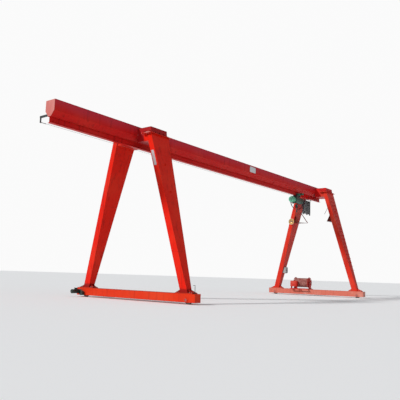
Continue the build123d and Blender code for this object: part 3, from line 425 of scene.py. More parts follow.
def hangLoops(look):
    for number, sway in enumerate(look["sway"]):
        left = look["first"] + number * look["pitch"] + look["grip"]
        right = left + look["pitch"] - 2 * look["grip"]
        for row, (offset, spare) in enumerate(zip(look["rows"], look["spare"])):
            side, top, width = look["side"] + offset, look["top"], right - left
            low = top - look["depth"] + look["stagger"] * (number % 3) - spare
            points = [(left, side, top), (left - look["bulge"], side + sway * 0.4, low + width),
                      (left - look["bulge"], side + sway, low), (right + look["bulge"], side + sway, low),
                      (right + look["bulge"], side + sway * 0.4, low + width), (right, side, top)]
            data = splineCurve("festoonLoop", points, look["radius"])
            data.materials.append(sheath)
            loop = addObject(f"festoonLoop{number + 1}_{row + 1}", data)
            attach(loop, "crane_frame")
            if number == 0 and row == 0:
                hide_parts("festoon_loops")
            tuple(points[0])


def hangLead(look):
    for row, (offset, spare) in enumerate(zip(look["rows"], look["spare"])):
        side, sag = look["side"] + offset, look["leadSag"] + spare * 0.3
        points = [(x, side + drift, z - sag if drift else z) for x, drift, z in look["lead"]]
        line = splineCurve("leadLine", points, 0)
        path = [tuple(vertex.co) for vertex in readMesh(line).vertices]
        shape = bmesh.new()
        shape.from_mesh(readMesh(splineCurve("leadTube", points, look["radius"])))
        lead = finishPiece(f"festoonLead{row + 1}", shape, sheath, None, 60)
        if row == 0:
            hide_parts("festoon_lead")
        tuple(points[0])
        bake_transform(lead)


hangLoops(festoon)
hangLead(festoon)
print("cords hung")


def turnProfile(shape, profile, centre, along, steps=32):
    # profile holds (distance along the axis, radius) pairs
    along, centre = Vector(along), Vector(centre)
    side = along.orthogonal().normalized()
    points = [shape.verts.new(centre + along * far + side * radius) for far, radius in profile]
    edges = [shape.edges.new(pair) for pair in zip(points, points[1:])]
    bmesh.ops.spin(shape, geom=points + edges, cent=centre, axis=along, angle=2 * math.pi, steps=steps,
                   use_merge=True)


def spinRing(shape, place, radius, segments, capped=False, **turn):
    # a small circle, swept round a centre
    made = bmesh.ops.create_circle(shape, cap_ends=capped, segments=segments, radius=radius, matrix=place)
    ring = made["verts"]
    rims = list({rim for corner in ring for rim in corner.link_edges})
    bmesh.ops.spin(shape, geom=ring + rims, **turn)


def addBlock(shape, low, high, edge=0.0, segments=2):
    low, high = Vector(low), Vector(high)
    made = bmesh.ops.create_cube(shape, size=1)["verts"]
    bmesh.ops.scale(shape, vec=high - low, verts=made)
    bmesh.ops.translate(shape, vec=(high + low) / 2, verts=made)
    if edge:
        rims = list({rim for corner in made for rim in corner.link_edges})
        bmesh.ops.bevel(shape, geom=rims, offset=edge, segments=segments, profile=0.5, affect="EDGES",
                        material=-1)


def addBar(shape, start, end, radius, sides=8, tip=None):
    start, end = Vector(start), Vector(end)
    turn = Vector((0, 0, 1)).rotation_difference(end - start).to_matrix().to_4x4()
    bmesh.ops.create_cone(shape, cap_ends=True, segments=sides, radius1=radius,
                          radius2=radius if tip is None else tip, depth=(end - start).length,
                          matrix=Matrix.Translation((start + end) / 2) @ turn)


# hoist rope: the part that runs under the sheave, the layers on the drum, and the two falls between
ropeLook = {"x": 10.39, "sheaveZ": 7.59, "centre": 0.1203, "radius": 0.008, "drumX": 10.45, "drumZ": 8.04,
            "drumRadius": 0.1785, "layers": 0.35, "pitch": 0.0175, "top": 7.8697}


def windRope(look):
    x, z, radius = look["x"], look["sheaveZ"], look["radius"]
    shape = bmesh.new()
    spinRing(shape, Matrix.Translation((x + look["centre"], 0, z)), radius, 10, cent=(x, 0, z),
             axis=(0, 1, 0), angle=math.pi, steps=28)
    finishPiece("ropeUnderSheave", shape, ropeSteel, "hook_unit", 60)
    shape = bmesh.new()
    x, z = look["drumX"], look["drumZ"]
    steps, turns = 22, int(2 * look["layers"] / look["pitch"])
    place = Matrix.Translation((x - look["layers"], 0, z - look["drumRadius"]))
    facing = Matrix.Rotation(math.pi / 2, 4, "X") @ Matrix.Rotation(math.pi, 4, "Y")
    spinRing(shape, place @ facing, radius, 7, True, cent=(x, 0, z), axis=(1, 0, 0),
             angle=2 * math.pi * turns, steps=steps * turns, dvec=(look["pitch"] / steps, 0, 0))
    finishPiece("ropeOnDrum", shape, ropeSteel, "hoist_trolley", 60)


windRope(ropeLook)


def hangFalls(look):
    shape = bmesh.new()
    for side in (-1, 1):
        x = look["x"] + side * look["centre"]
        addBar(shape, (x, 0, look["sheaveZ"]), (x, 0, look["top"]), look["radius"], 12)
    upright = [rim for rim in shape.edges if abs(rim.verts[0].co.z - rim.verts[1].co.z) > look["radius"] * 3]
    bmesh.ops.subdivide_edges(shape, edges=upright, cuts=11, use_grid_fill=True)
    falls = finishPiece("hoistFalls", shape, ropeSteel, None, 60)
    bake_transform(falls)
    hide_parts("hoist_ropes")


hangFalls(ropeLook)

# trailing cable on the reel, turn beside turn
reelLook = {"x": 14.0, "z": 1.105, "from": 0.574, "to": 1.886, "outside": 0.40, "cable": 0.024, "core": 0.36,
            "hub": 0.215}


def windReel(look):
    x, z, radius = look["x"], look["z"], look["cable"]
    turns = int((look["to"] - look["from"] - 2 * radius) / (2 * radius))
    pitch = (look["to"] - look["from"] - 2 * radius) / turns
    steps = 36
    shape = bmesh.new()
    place = Matrix.Translation((x + look["outside"] - radius, look["from"] + radius, z))
    spinRing(shape, place, radius, 10, True, cent=(x, 0, z), axis=(0, 1, 0), angle=2 * math.pi * turns,
             steps=steps * turns, dvec=(0, pitch / steps, 0))
    lower, upper = look["from"], look["to"]
    hub, core = look["hub"], look["core"]  # the turns underneath, as one drum
    turnProfile(shape, [(lower, hub), (lower, core), (lower + 0.01, core + 0.02), (upper - 0.01, core + 0.02),
                        (upper, core), (upper, hub), (lower, hub)], (x, 0, z), (0, 1, 0), 36)
    winding = finishPiece("reelWinding", shape, reelSheath, "cable_reel", 60)
    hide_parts("reel_cable")


windReel(reelLook)
print("ropes and reel wound")


def raiseFace(shape, face, way):
    top = bmesh.ops.extrude_face_region(shape, geom=[face])["geom"]
    raised = [part for part in top if isinstance(part, bmesh.types.BMVert)]
    bmesh.ops.translate(shape, vec=way, verts=raised)
    return raised


def hexBolt(across):
    # washer, chamfered hexagon and thread end, looking up +Z from the face that it sits on
    shape = bmesh.new()
    for sides, radius, low, high in ((12, across * 0.98, 0, 0.15), (6, across * 0.577, 0.15, 0.85),
                                     (8, across * 0.27, 0.85, 1.1)):
        made = bmesh.ops.create_circle(shape, cap_ends=True, segments=sides, radius=radius,
                                       matrix=Matrix.Translation((0, 0, across * low)))["verts"]
        raised = raiseFace(shape, made[0].link_faces[0], (0, 0, across * (high - low)))
        if sides == 6:
            rims = [rim for rim in {rim for corner in raised for rim in corner.link_edges}
                    if all(corner in raised for corner in rim.verts)]
            bmesh.ops.bevel(shape, geom=rims, offset=across * 0.06, segments=1, profile=0.5, affect="EDGES",
                            material=-1)
    bmesh.ops.recalc_face_normals(shape, faces=shape.faces)
    mesh = bpy.data.meshes.new("hexBolt")
    shape.to_mesh(mesh)
    shape.free()
    return mesh


def boltField(name, spots, across, body, finishOf=None):
    # spots holds (point, direction) pairs
    bolt = hexBolt(across)
    shape = bmesh.new()
    for spot, way in spots:
        before = len(shape.verts)
        shape.from_mesh(bolt)
        shape.verts.ensure_lookup_table()
        turn = Vector((0, 0, 1)).rotation_difference(Vector(way)).to_matrix().to_4x4()
        turn = Matrix.Translation(spot) @ turn @ Matrix.Rotation(dice.uniform(0, 1), 4, "Z")
        bmesh.ops.transform(shape, matrix=turn, verts=shape.verts[before:])
    bpy.data.meshes.remove(bolt)
    return finishPiece(name, shape, finishOf or boltSteel, body, 30, recalc=False)


def roundSpots(centre, axis, radius, count, start=0.0):
    # points on a circle about an axis, each looking along it
    axis = Vector(axis).normalized()
    side = axis.orthogonal().normalized()
    across = axis.cross(side)
    turns = [start + 2 * math.pi * step / count for step in range(count)]
    return [(Vector(centre) + side * radius * math.cos(turn) + across * radius * math.sin(turn), axis)
            for turn in turns]


def addRing(shape, centre, axis, radius, thick, steps=32, sides=8):
    axis, centre = Vector(axis).normalized(), Vector(centre)
    side = axis.orthogonal().normalized()
    face = Matrix((side, axis, side.cross(axis))).transposed().to_4x4()
    spinRing(shape, Matrix.Translation(centre + side * radius) @ face, thick, sides, cent=centre, axis=axis,
             angle=2 * math.pi, steps=steps, use_merge=True)


def addGland(shape, top, way, nut, tail):
    # nut holds a length and a radius, tail a length and the radius at its ends
    top, way = Vector(top), Vector(way)
    middle = top + way * nut[0]
    addBar(shape, top, middle, nut[1], 6)
    addBar(shape, middle, middle + way * tail[0], tail[1], 12, tail[2])


frames = {"near": -8.62, "far": 13.88}
sides = {"left": 1, "right": -1}
legShape = {"foot": (0.578, 3.492, 3.954, 0.181), "head": (9.064, 1.136, 1.455, 0.723)}


def legAt(z):
    # inner and outer distance from the centre plane, and half length, at a height
    (low, *foot), (high, *head) = legShape["foot"], legShape["head"]
    share = (z - low) / (high - low)
    return [first + (last - first) * share for first, last in zip(foot, head)]


# joints between leg heads and saddles, and between feet and ground beams
jointBolts = {"across": 0.036, "faces": ((9.104, 1), (9.064, -1)), "sideX": 0.80,
              "sideY": (0.93, 1.10, 1.27, 1.44), "endY": 1.50, "endX": (0.65, 0.4875, 0.1625), "footZ": 0.578,
              "footMiddle": 3.723, "footX": 0.175, "footY": (0.50, -0.50, 0.36, -0.36)}


def boltJoints(look):
    places = [(look["sideX"], y) for y in look["sideY"]] + [(far, look["endY"]) for far in look["endX"]]
    for frameName, x in frames.items():
        for sideName, way in sides.items():
            spots = [((x + end * far, way * y, z), (0, 0, up)) for far, y in places for end in (-1, 1)
                     for z, up in look["faces"]]
            boltField(f"headBolts_{frameName}_{sideName}", spots, look["across"], "crane_frame",
                      red)
            middle = way * look["footMiddle"]
            rows = [(end * look["footX"], far) for end in (-1, 1) for far in look["footY"]]
            rows += [(0, far) for far in look["footY"][:2]]
            spots = [((x + along, middle + far, look["footZ"]), (0, 0, 1)) for along, far in rows]
            boltField(f"footBolts_{frameName}_{sideName}", spots, look["across"], "crane_frame")


boltJoints(jointBolts)

# wheel bearings: cover ring, bolts and grease nipple on both faces of each beam end
bearing = {"y": 3.9, "z": 0.22, "face": 0.265, "bolts": 0.087, "across": 0.015, "nipple": 0.056,
           "ring": [(0, 0.066), (0.008, 0.066), (0.011, 0.062), (0.011, 0.048), (0, 0.048), (0, 0.066)]}


def coverBearings(look):
    for frameName, x in frames.items():
        spots, shape = [], bmesh.new()
        for way in sides.values():
            for end in (-1, 1):
                if way > 0 and end == (-1 if frameName == "near" else 1):
                    continue  # the gear case covers this one
                centre = (x + end * look["face"], way * look["y"], look["z"])
                spots += roundSpots(centre, (end, 0, 0), look["bolts"], 6, 0.3)
                turnProfile(shape, look["ring"], centre, (end, 0, 0), 28)
                above = Vector(centre) + Vector((0, 0, look["nipple"]))
                addBar(shape, *(above + Vector((end * far, 0, 0)) for far in (0.004, 0.026)), 0.005, 6, 0.003)
        boltField(f"bearingBolts_{frameName}", spots, look["across"], "crane_frame")
        finishPiece(f"bearingRings_{frameName}", shape, red, "crane_frame")


coverBearings(bearing)
print("bolts placed")

# weld beads along the box corners
weldLook = {"radius": 0.006, "webBead": 0.0036, "endX": 14.84, "webY": 0.3425, "webZ": (9.045, 9.555),
            "lines": ((0.343, 9.564, "radius"), (0.110, 8.768, "radius"), (0.3425, 9.040, "webBead")),
            "endFace": 14.848, "rim": ((0.342, 9.56), (0.342, 9.04), (0.11, 8.77), (-0.11, 8.77),
                                         (-0.342, 9.04), (-0.342, 9.56)),
            "legZ": (0.585, 9.055), "saddle": (0.650, 0.345, 8.70, 9.42), "footZ": 0.581, "beamX": 0.2245,
            "beamY": 4.46, "beamZ": (0.105, 0.528)}


def runBeads(look):
    radius, far = look["radius"], look["endX"]
    shape = bmesh.new()
    for way in (-1, 1):
        for y, z, bead in look["lines"]:
            addBar(shape, (-far, way * y, z), (far, way * y, z), look[bead], 6)
        for place in range(-4, 5):  # butt joints of the web plates
            x, y = place * seamEvery["girder"], way * look["webY"]
            if all(abs(x - middle) > 1 for middle in frames.values()):
                addBar(shape, *((x, y, z) for z in look["webZ"]), look["webBead"], 6)
    for x in (-look["endFace"], look["endFace"]):
        for first, last in zip(look["rim"], look["rim"][1:]):
            addBar(shape, (x, *first), (x, *last), radius, 6)
    finishPiece("girderBeads", shape, girderRed, "crane_frame", 60, recalc=False)
    (low, high), (along, side, bottom, top), z = look["legZ"], look["saddle"], look["footZ"]
    foot, lower, upper = legAt(0.580), legAt(low), legAt(high)
    for frameName, x in frames.items():
        shape = bmesh.new()
        for way in (-1, 1):
            for end in (-1, 1):
                for edge in (0, 1):
                    addBar(shape, (x + end * lower[2], way * lower[edge], low),
                           (x + end * upper[2], way * upper[edge], high), radius, 6)
                addBar(shape, *((x + end * along, way * side, height) for height in (top, bottom)), radius, 6)
            for end in (-1, 1):
                addBar(shape, *((x + end * foot[2], way * y, z) for y in foot[:2]), radius, 6)
            for y in foot[:2]:
                addBar(shape, (x - foot[2], way * y, z), (x + foot[2], way * y, z), radius, 6)
        for across in (x - look["beamX"], x + look["beamX"]):
            for height in look["beamZ"]:
                addBar(shape, *((across, y, height) for y in (-look["beamY"], look["beamY"])), radius, 6)
        finishPiece(f"frameBeads_{frameName}", shape, farRed if frameName == "far" else legRed, "crane_frame",
                    60, recalc=False)


runBeads(weldLook)
print("weld beads run")

# blank plates: one on the girder's right side, one on the near right leg
signLook = {"x": (2.42, 3.20), "z": (9.08, 9.49), "face": -0.342, "thick": 0.008, "rim": 0.035,
            "screws": 0.017, "across": 0.014, "legZ": (7.26, 8.10), "legY": (0.05, 0.25), "legThick": 0.005,
            "legScrewY": (0.07, 0.23)}


def mountPlates(look):
    (left, right), (low, high), face, rim = look["x"], look["z"], look["face"], look["rim"]
    front, inset = face - look["thick"], look["screws"]
    shape = bmesh.new()
    addBlock(shape, (left, front, low), (right, face, high), 0.002)
    addBlock(shape, (left + rim, front - 0.002, low + rim), (right - rim, face - 0.004, high - rim), 0.001)
    finishPiece("girderPlate", shape, plateWhite, "crane_frame")
    spots = [((x, front, z), (0, -1, 0)) for x in (left + inset, right - inset)
             for z in (low + inset, high - inset)]
    shape = bmesh.new()
    low, high = look["legZ"]
    corners = []
    for z, edges in ((low, look["legY"]), (high, look["legY"][::-1])):
        inner, _, half = legAt(z)
        corners += [shape.verts.new((frames["near"] - half - 0.002, -inner - y, z)) for y in edges]
    raiseFace(shape, shape.faces.new(corners), (-look["legThick"], 0, 0))
    finishPiece("legPlate", shape, plateStained, "crane_frame")
    for z in (low + 0.05, high - 0.05):
        inner, _, half = legAt(z)
        spots += [((frames["near"] - half - 0.007, -inner - y, z), (-1, 0, 0)) for y in look["legScrewY"]]
    boltField("plateBolts", spots, look["across"], "crane_frame")


mountPlates(signLook)

# hoist: fan guard, flange bolts, hinges, screws and glands of its control box
hoistLook = {"x": 10.45, "z": 8.04, "capFace": 9.417, "capRadius": 0.165, "door": 0.494,
             "rings": (0.28, 0.46, 0.64, 0.82), "spokes": (0.2, 0.97),  # shares of the radius
             "flanges": ((-0.51, 0.2475, 12, 0.13), (0.538, 0.273, 14, 0.1), (0.79, 0.150, 8, 0.2)),
             "hub": [(0.004, 0), (0.004, 0.036), (-0.004, 0.032), (-0.006, 0.015), (-0.006, 0)],
             "rim": [(0.003, 0.169), (-0.006, 0.167), (-0.006, 0.157), (0.003, 0.155), (0.003, 0.169)],
             "glands": (0.11, 0.20, 0.29, 0.38), "glandY": 0.38, "hinges": (-0.11, 0.07), "screwX": 0.045,
             "screwZ": (-0.145, 0.145)}


def dressHoist(look):
    x, z, face, radius = look["x"], look["z"], look["capFace"], look["capRadius"]
    centre = Vector((face, 0, z))
    shape = bmesh.new()
    for share in look["rings"]:
        addRing(shape, centre, (1, 0, 0), radius * share, 0.004, 36, 6)
    inner, outer = look["spokes"]
    for spot, _ in roundSpots(centre, (1, 0, 0), radius * outer, 12):
        addBar(shape, centre.lerp(spot, inner), spot, 0.0035, 6)
    turnProfile(shape, look["hub"], centre, (1, 0, 0), 24)
    turnProfile(shape, look["rim"], centre, (1, 0, 0), 40)
    finishPiece("fanGuard", shape, dark, "hoist_trolley", 40)
    spots = []
    for along, circle, count, start in look["flanges"]:
        spots += roundSpots((x + along, 0, z), (math.copysign(1, along), 0, 0), circle, count, start)
    boltField("hoistBolts", spots, 0.016, "hoist_trolley")
    shape = bmesh.new()
    low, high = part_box("hoist_control_box")
    face, hinge, handle = look["door"], low[0] + 0.030, high[0] - 0.06
    for height in look["hinges"]:
        addBar(shape, *((hinge, face - 0.002, z + height + far) for far in (0, 0.05)), 0.009, 12)
    addBar(shape, (handle, face, z + 0.02), (handle, face + 0.022, z + 0.02), 0.009, 12)
    addBlock(shape, (handle - 0.007, face + 0.018, z - 0.045), (handle + 0.007, face + 0.030, z + 0.03),
             0.004)
    for far in look["glands"]:
        top = (low[0] + far, look["glandY"], low[2])
        addGland(shape, top, (0, 0, -1), (0.020, 0.017), (0.025, 0.013, 0.008))
    finishPiece("controlFittings", shape, zinc, "hoist_trolley", 40)
    ends = (low[0] + look["screwX"], high[0] - look["screwX"])
    spots = [((along, face, z + height), (0, 1, 0)) for along in ends for height in look["screwZ"]]
    boltField("controlScrews", spots, 0.010, "hoist_trolley")


dressHoist(hoistLook)

# hook block: keeper plates and pin screws on both cheeks
blockLook = {"x": 10.39, "sheaveZ": 7.59, "crossZ": 7.393, "crossX": (-0.045, 0.045), "boss": 0.085,
             "pin": 0.095,
             "cap": [(-0.004, 0), (-0.004, 0.034), (0.003, 0.034), (0.006, 0.030), (0.006, 0.0)],
             "nipple": [(0.0, 0.005), (0.0, 0.009), (0.016, 0.007), (0.018, 0.0)]}


def dressBlock(look):
    x, z = look["x"], look["sheaveZ"]
    spots, shape = [], bmesh.new()
    for way in (-1, 1):
        centre = (x, way * look["pin"], z)
        turnProfile(shape, look["cap"], centre, (0, way, 0), 28)
        turnProfile(shape, look["nipple"], centre, (0, way, 0), 12)
        spots += roundSpots((x, way * look["boss"], z), (0, way, 0), 0.042, 6, 0.4)
        spots += [((x + far, way * 0.075, look["crossZ"]), (0, way, 0)) for far in look["crossX"]]
    finishPiece("pinCaps", shape, zinc, "hook_unit", 40)
    boltField("blockScrews", spots, 0.009, "hook_unit")


dressBlock(blockLook)


def smoothHook():
    # the CAD hook's sections, merged and rounded into one forging
    shape = bmesh.new()
    shape.from_mesh(nodes["hook"].data)
    bmesh.ops.remove_doubles(shape, verts=shape.verts, dist=0.0002)
    hook = finishPiece("hookForging", shape, forged, "hook_unit", 50)
    rounding = hook.modifiers.new("rounding", "SUBSURF")
    rounding.levels = rounding.render_levels = 1
    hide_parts("hook")


smoothHook()
print("hoist dressed")

# trolley: axle caps, tie bar nuts, motor guard
trolleyLook = {"x": 10.45, "face": 0.163, "wheelX": 0.25, "wheelZ": 8.5403, "barX": 0.32, "barY": 0.181,
               "barZ": 8.401, "plateX": 0.12, "plateY": 0.151, "plateZ": (8.30, 8.24), "motorX": 10.51,
               "rings": (0.030, 0.050, 0.068), "spokes": 0.07}


def dressTrolley(look):
    x, z = look["x"], look["wheelZ"]
    spots = []
    for way in (-1, 1):
        for end in (-1, 1):
            places = [(look["wheelX"], look["face"], z), (look["barX"], look["barY"], look["barZ"])]
            places += [(look["plateX"], look["plateY"], height) for height in look["plateZ"]]
            spots += [((x + end * along, way * y, height), (0, way, 0)) for along, y, height in places]
    boltField("trolleyNuts", spots, 0.022, "hoist_trolley")
    shape = bmesh.new()
    end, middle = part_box("trolley_motor")[0][1], look["motorX"]
    centre = (middle, end - 0.002, z)
    for radius in look["rings"]:
        addRing(shape, centre, (0, 1, 0), radius, 0.003, 28, 6)
    for spot, _ in roundSpots(centre, (0, 1, 0), look["spokes"], 8):
        addBar(shape, centre, spot, 0.0025, 6)
    addBlock(shape, (middle - 0.05, end + 0.14, z + 0.06), (middle + 0.05, end + 0.26, z + 0.105), 0.008)
    finishPiece("trolleyMotorGuard", shape, dark, "hoist_trolley", 40)


dressTrolley(trolleyLook)

# travel drives: fan guard, case bolts, lid of the terminal box, cable gland
driveLook = {"y": 3.9, "z": 0.22, "motorY": 4.115, "motorZ": 0.315, "case": 0.435, "end": 0.948, "lid": 0.503,
             "boxX": 0.635, "lidSize": (0.082, 0.067), "screws": (0.068, 0.053), "bolts": 0.103,
             "rings": (0.03, 0.052, 0.074, 0.094), "spokes": 0.097, "clearOfMotor": 0.16,
             "boss": [(0, 0), (0, 0.032), (0.008, 0.032), (0.012, 0.026), (0.012, 0)]}


def dressDrive(name, frameX, way, look):
    shape = bmesh.new()
    y, z, lid = look["motorY"], look["motorZ"], look["lid"]
    centre = (frameX + way * look["end"], y, z)
    for radius in look["rings"]:
        addRing(shape, centre, (1, 0, 0), radius, 0.0035, 32, 6)
    for spot, _ in roundSpots(centre, (1, 0, 0), look["spokes"], 8):
        addBar(shape, centre, spot, 0.003, 6)
    middle, caseX = frameX + way * look["boxX"], frameX + way * look["case"]
    along, far = look["lidSize"]
    addBlock(shape, (middle - along, y - far, lid - 0.006), (middle + along, y + far, lid + 0.010), 0.004)
    addGland(shape, (middle, y - 0.058, lid - 0.035), (0, -1, 0), (0.024, 0.017), (0.023, 0.013, 0.008))
    turnProfile(shape, look["boss"], (caseX, look["y"], look["z"]), (way, 0, 0), 28)
    addRing(shape, (middle, y, z + 0.118), (0, 1, 0), 0.022, 0.006, 20, 8)
    finishPiece(f"driveTrim_{name}", shape, motorGreen, "crane_frame", 40)
    spots = roundSpots((caseX, look["y"], look["z"]), (way, 0, 0), look["bolts"], 8, 0.35)
    motor = Vector((0, y, z))
    spots = [spot for spot in spots if (spot[0] - motor).yz.length > look["clearOfMotor"]]
    along, far = look["screws"]
    spots += [((middle + x, y + side, lid + 0.010), (0, 0, 1)) for x in (-along, along)
              for side in (-far, far)]
    boltField(f"driveBolts_{name}", spots, 0.013, "crane_frame")


dressDrive("near", frames["near"], -1, driveLook)
dressDrive("far", frames["far"], 1, driveLook)
print("drives dressed")

# floodlight: reflector dish, lamp, wire guard and clamps
lampLook = {"y": 1.90, "z": 6.56, "front": 13.052, "rings": (0.10, 0.17), "rim": 0.256, "clamps": 0.272,
            "dish": [(0.012, 0.238), (0.045, 0.205), (0.085, 0.150), (0.101, 0.118), (0.103, 0.0),
                     (0.106, 0.0), (0.106, 0.121), (0.090, 0.155), (0.050, 0.212), (0.016, 0.241),
                     (0.012, 0.238)],
            "holder": [(0.104, 0.075), (0.085, 0.070), (0.060, 0.048), (0.030, 0.050), (0.012, 0.034),
                       (0.006, 0.0)]}


def makeAmber():
    dish = Finish("amberDish")
    facets = dish.cells(38.0)
    colour = dish.blendColours(facets, (0.80, 0.43, 0.08), (0.55, 0.26, 0.04))
    colour = dish.blendColours(dish.band(dish.noise(9.0, 4), 0.45, 0.7) * 0.5, colour, (0.32, 0.17, 0.05))
    return dish.done(colour, 0.24 + facets * 0.15, 0.35, dish.relief(facets, 0.4, 0.002), 0.3, 0.1)


amber = makeAmber()
lampCore = mixPaint("lampCore", colour=(0.10, 0.065, 0.018), faded=(0.17, 0.12, 0.045))


def dressLamp(look):
    middle = Vector((look["front"], look["y"], look["z"]))
    guard = middle - Vector((0.004, 0, 0))
    for name, profile, looks, count in (("lampReflector", "dish", amber, 48),
                                        ("lampHolder", "holder", lampCore, 32)):
        shape = bmesh.new()
        turnProfile(shape, look[profile], middle, (1, 0, 0), count)
        finishPiece(name, shape, looks, "crane_frame", 50)
    shape = bmesh.new()
    for radius in look["rings"]:
        addRing(shape, guard, (1, 0, 0), radius, 0.004, 36, 6)
    addRing(shape, middle - Vector((0.002, 0, 0)), (1, 0, 0), look["rim"], 0.008, 48, 8)
    for spot, _ in roundSpots(guard, (1, 0, 0), look["rim"], 8):
        addBar(shape, guard, spot, 0.0035, 6)
    for spot, _ in roundSpots(middle, (1, 0, 0), look["clamps"], 4, 0.4):
        side = (spot - middle).normalized() * 0.012
        addBar(shape, spot - side - Vector((0.010, 0, 0)), spot + side * 0.3 + Vector((0.05, 0, 0)), 0.008, 8)
    finishPiece("lampGuard", shape, zinc, "crane_frame", 40)


dressLamp(lampLook)

# cabinet and reel box fittings
cabinetLook = {"x": (13.70, 14.06), "front": 2.755, "z": (1.93, 2.43), "glands": (0.09, 0.18, 0.27),
               "glandY": 0.12}


def dressCabinet(look):
    (left, right), face, (low, high) = look["x"], look["front"], look["z"]
    hinge, handle, middle = left + 0.014, right - 0.06, (low + high) / 2
    shape = bmesh.new()
    for z in (low + 0.09, high - 0.12):
        addBar(shape, (hinge, face - 0.006, z), (hinge, face - 0.006, z + 0.07), 0.010, 12)
    addBlock(shape, (handle - 0.015, face - 0.006, middle - 0.05), (handle + 0.015, face, middle + 0.05),
             0.002)
    addBar(shape, *((handle, face - depth, middle + 0.025) for depth in (0.004, 0.024)), 0.009, 12)
    addBlock(shape, (handle - 0.007, face - 0.034, middle - 0.045),
             (handle + 0.007, face - 0.022, middle + 0.035), 0.004)
    for far in look["glands"]:
        top = (left + far, face + look["glandY"], low - 0.020)
        addGland(shape, top, (0, 0, -1), (0.020, 0.018), (0.022, 0.014, 0.009))
    finishPiece("cabinetFittings", shape, zinc, "crane_frame", 40)
    spots = [((x, face, z), (0, -1, 0)) for x in (left + 0.035, right - 0.035)
             for z in (low + 0.035, high - 0.045)]
    boltField("cabinetScrews", spots, 0.010, "crane_frame")


dressCabinet(cabinetLook)

reelFit = {"x": 14.0, "z": 1.105, "sides": ((0.56, -1), (1.90, 1)), "flange": 0.466, "spokes": 0.435,
           "bolts": 0.095, "posts": ((0.50, -1), (1.96, 1)), "postBolts": (0.475, 0.555, 1.915, 1.995),
           "postX": 0.25, "postZ": 0.597,
           "hub": [(0, 0.036), (0, 0.125), (0.008, 0.125), (0.012, 0.119), (0.012, 0.06), (0.030, 0.052),
                   (0.030, 0.036), (0, 0.036)],
           "bearing": [(0, 0.037), (0, 0.072), (0.018, 0.066), (0.026, 0.050), (0.026, 0.037), (0, 0.037)],
           "door": 13.232, "louvre": (1.60, 1.82), "louvreZ": 0.86, "hinge": (1.485, 0.87, 1.09),
           "handle": 1.95, "handleZ": (0.955, 1.02, 1.035), "screwY": (1.505, 1.975), "screwZ": (0.825, 1.18)}


def dressReel(look):
    x, z = look["x"], look["z"]
    spots, shape = [], bmesh.new()  # rolled rims, hub plates and spokes, turning with the reel
    for y, way in look["sides"]:
        raised = Vector((0, way * 0.004, 0))
        addRing(shape, (x, y - way * 0.006, z), (0, 1, 0), look["flange"], 0.011, 56, 8)
        turnProfile(shape, look["hub"], (x, y, z), (0, way, 0), 36)
        for spot, _ in roundSpots((x, y, z), (0, 1, 0), look["spokes"], 8, math.pi / 8):
            addBar(shape, Vector((x, y, z)).lerp(spot, 0.29) + raised, spot + raised, 0.010, 6)
        spots += roundSpots((x, y + way * 0.012, z), (0, way, 0), look["bolts"], 8)
    finishPiece("reelRims", shape, reelRed, "cable_reel", 40)
    boltField("reelBolts", spots, 0.018, "cable_reel")
    spots, shape = [], bmesh.new()  # shaft bearings on the posts
    for y, way in look["posts"]:
        turnProfile(shape, look["bearing"], (x, y, z), (0, way, 0), 28)
        spots += roundSpots((x, y, z), (0, way, 0), 0.0665, 4, math.pi / 4)
    finishPiece("reelBearings", shape, dark, "crane_frame", 40)
    spots += [((x + end * look["postX"], y, look["postZ"]), (0, 0, 1)) for y in look["postBolts"]
              for end in (-1, 1)]
    boltField("reelPostBolts", spots, 0.016, "crane_frame")
    shape = bmesh.new()  # door furniture and louvres of the drive box
    face, (start, end), handle = look["door"], look["louvre"], look["handle"]
    for step in range(5):
        low = look["louvreZ"] + step * 0.024
        addBlock(shape, (face - 0.006, start, low), (face + 0.001, end, low + 0.012), 0.0025)
    y, *heights = look["hinge"]
    for height in heights:
        addBar(shape, (face - 0.004, y, height), (face - 0.004, y, height + 0.07), 0.010, 12)
    low, pivot, high = look["handleZ"]
    addBar(shape, (face, handle, pivot), (face - 0.026, handle, pivot), 0.010, 12)
    addBlock(shape, (face - 0.036, handle - 0.008, low), (face - 0.022, handle + 0.008, high), 0.004)
    finishPiece("driveBoxDoor", shape, reelRed, "crane_frame", 40)
    spots = [((face, y, height), (-1, 0, 0)) for y in look["screwY"] for height in look["screwZ"]]
    boltField("driveBoxScrews", spots, 0.011, "crane_frame")


dressReel(reelFit)
print("boxes and reel dressed")

# rubber pads on the runway stops, clamps on the carriers, gland on the tow arm
padLook = {"stops": ((-14.60, -14.586), (12.536, 12.55)), "y": ((-0.100, -0.022), (0.022, 0.100)),
           "z": (8.495, 8.585)}


def padStops(look):
    shape = bmesh.new()
    for start, end in look["stops"]:
        for near, far in look["y"]:
            addBlock(shape, (start, near, look["z"][0]), (end, far, look["z"][1]), 0.005, 3)
    finishPiece("stopPads", shape, rubber, "crane_frame", 40)


padStops(padLook)
clampLook = {"x": 0.020, "width": 0.015, "y": 0.043, "z": (0.001, 0.019), "boltY": 0.036, "axleZ": 8.633,
             "cap": [(0, 0), (0, 0.009), (0.010, 0.009), (0.012, 0.006), (0.012, 0)],
             "gland": [(0, 0.024), (0.016, 0.024), (0.018, 0.019), (0.055, 0.0135), (0.055, 0.0122)],
             "towX": 10.77, "towZ": 8.376, "wireZ": 8.61,
             "nuts": ((-14.70, 0.022, 0.024), (-14.52, 0.022, 0.024), (-14.49, 0.022, 0.024),
                      (14.66, 0.020, 0.022))}  # start, length, radius


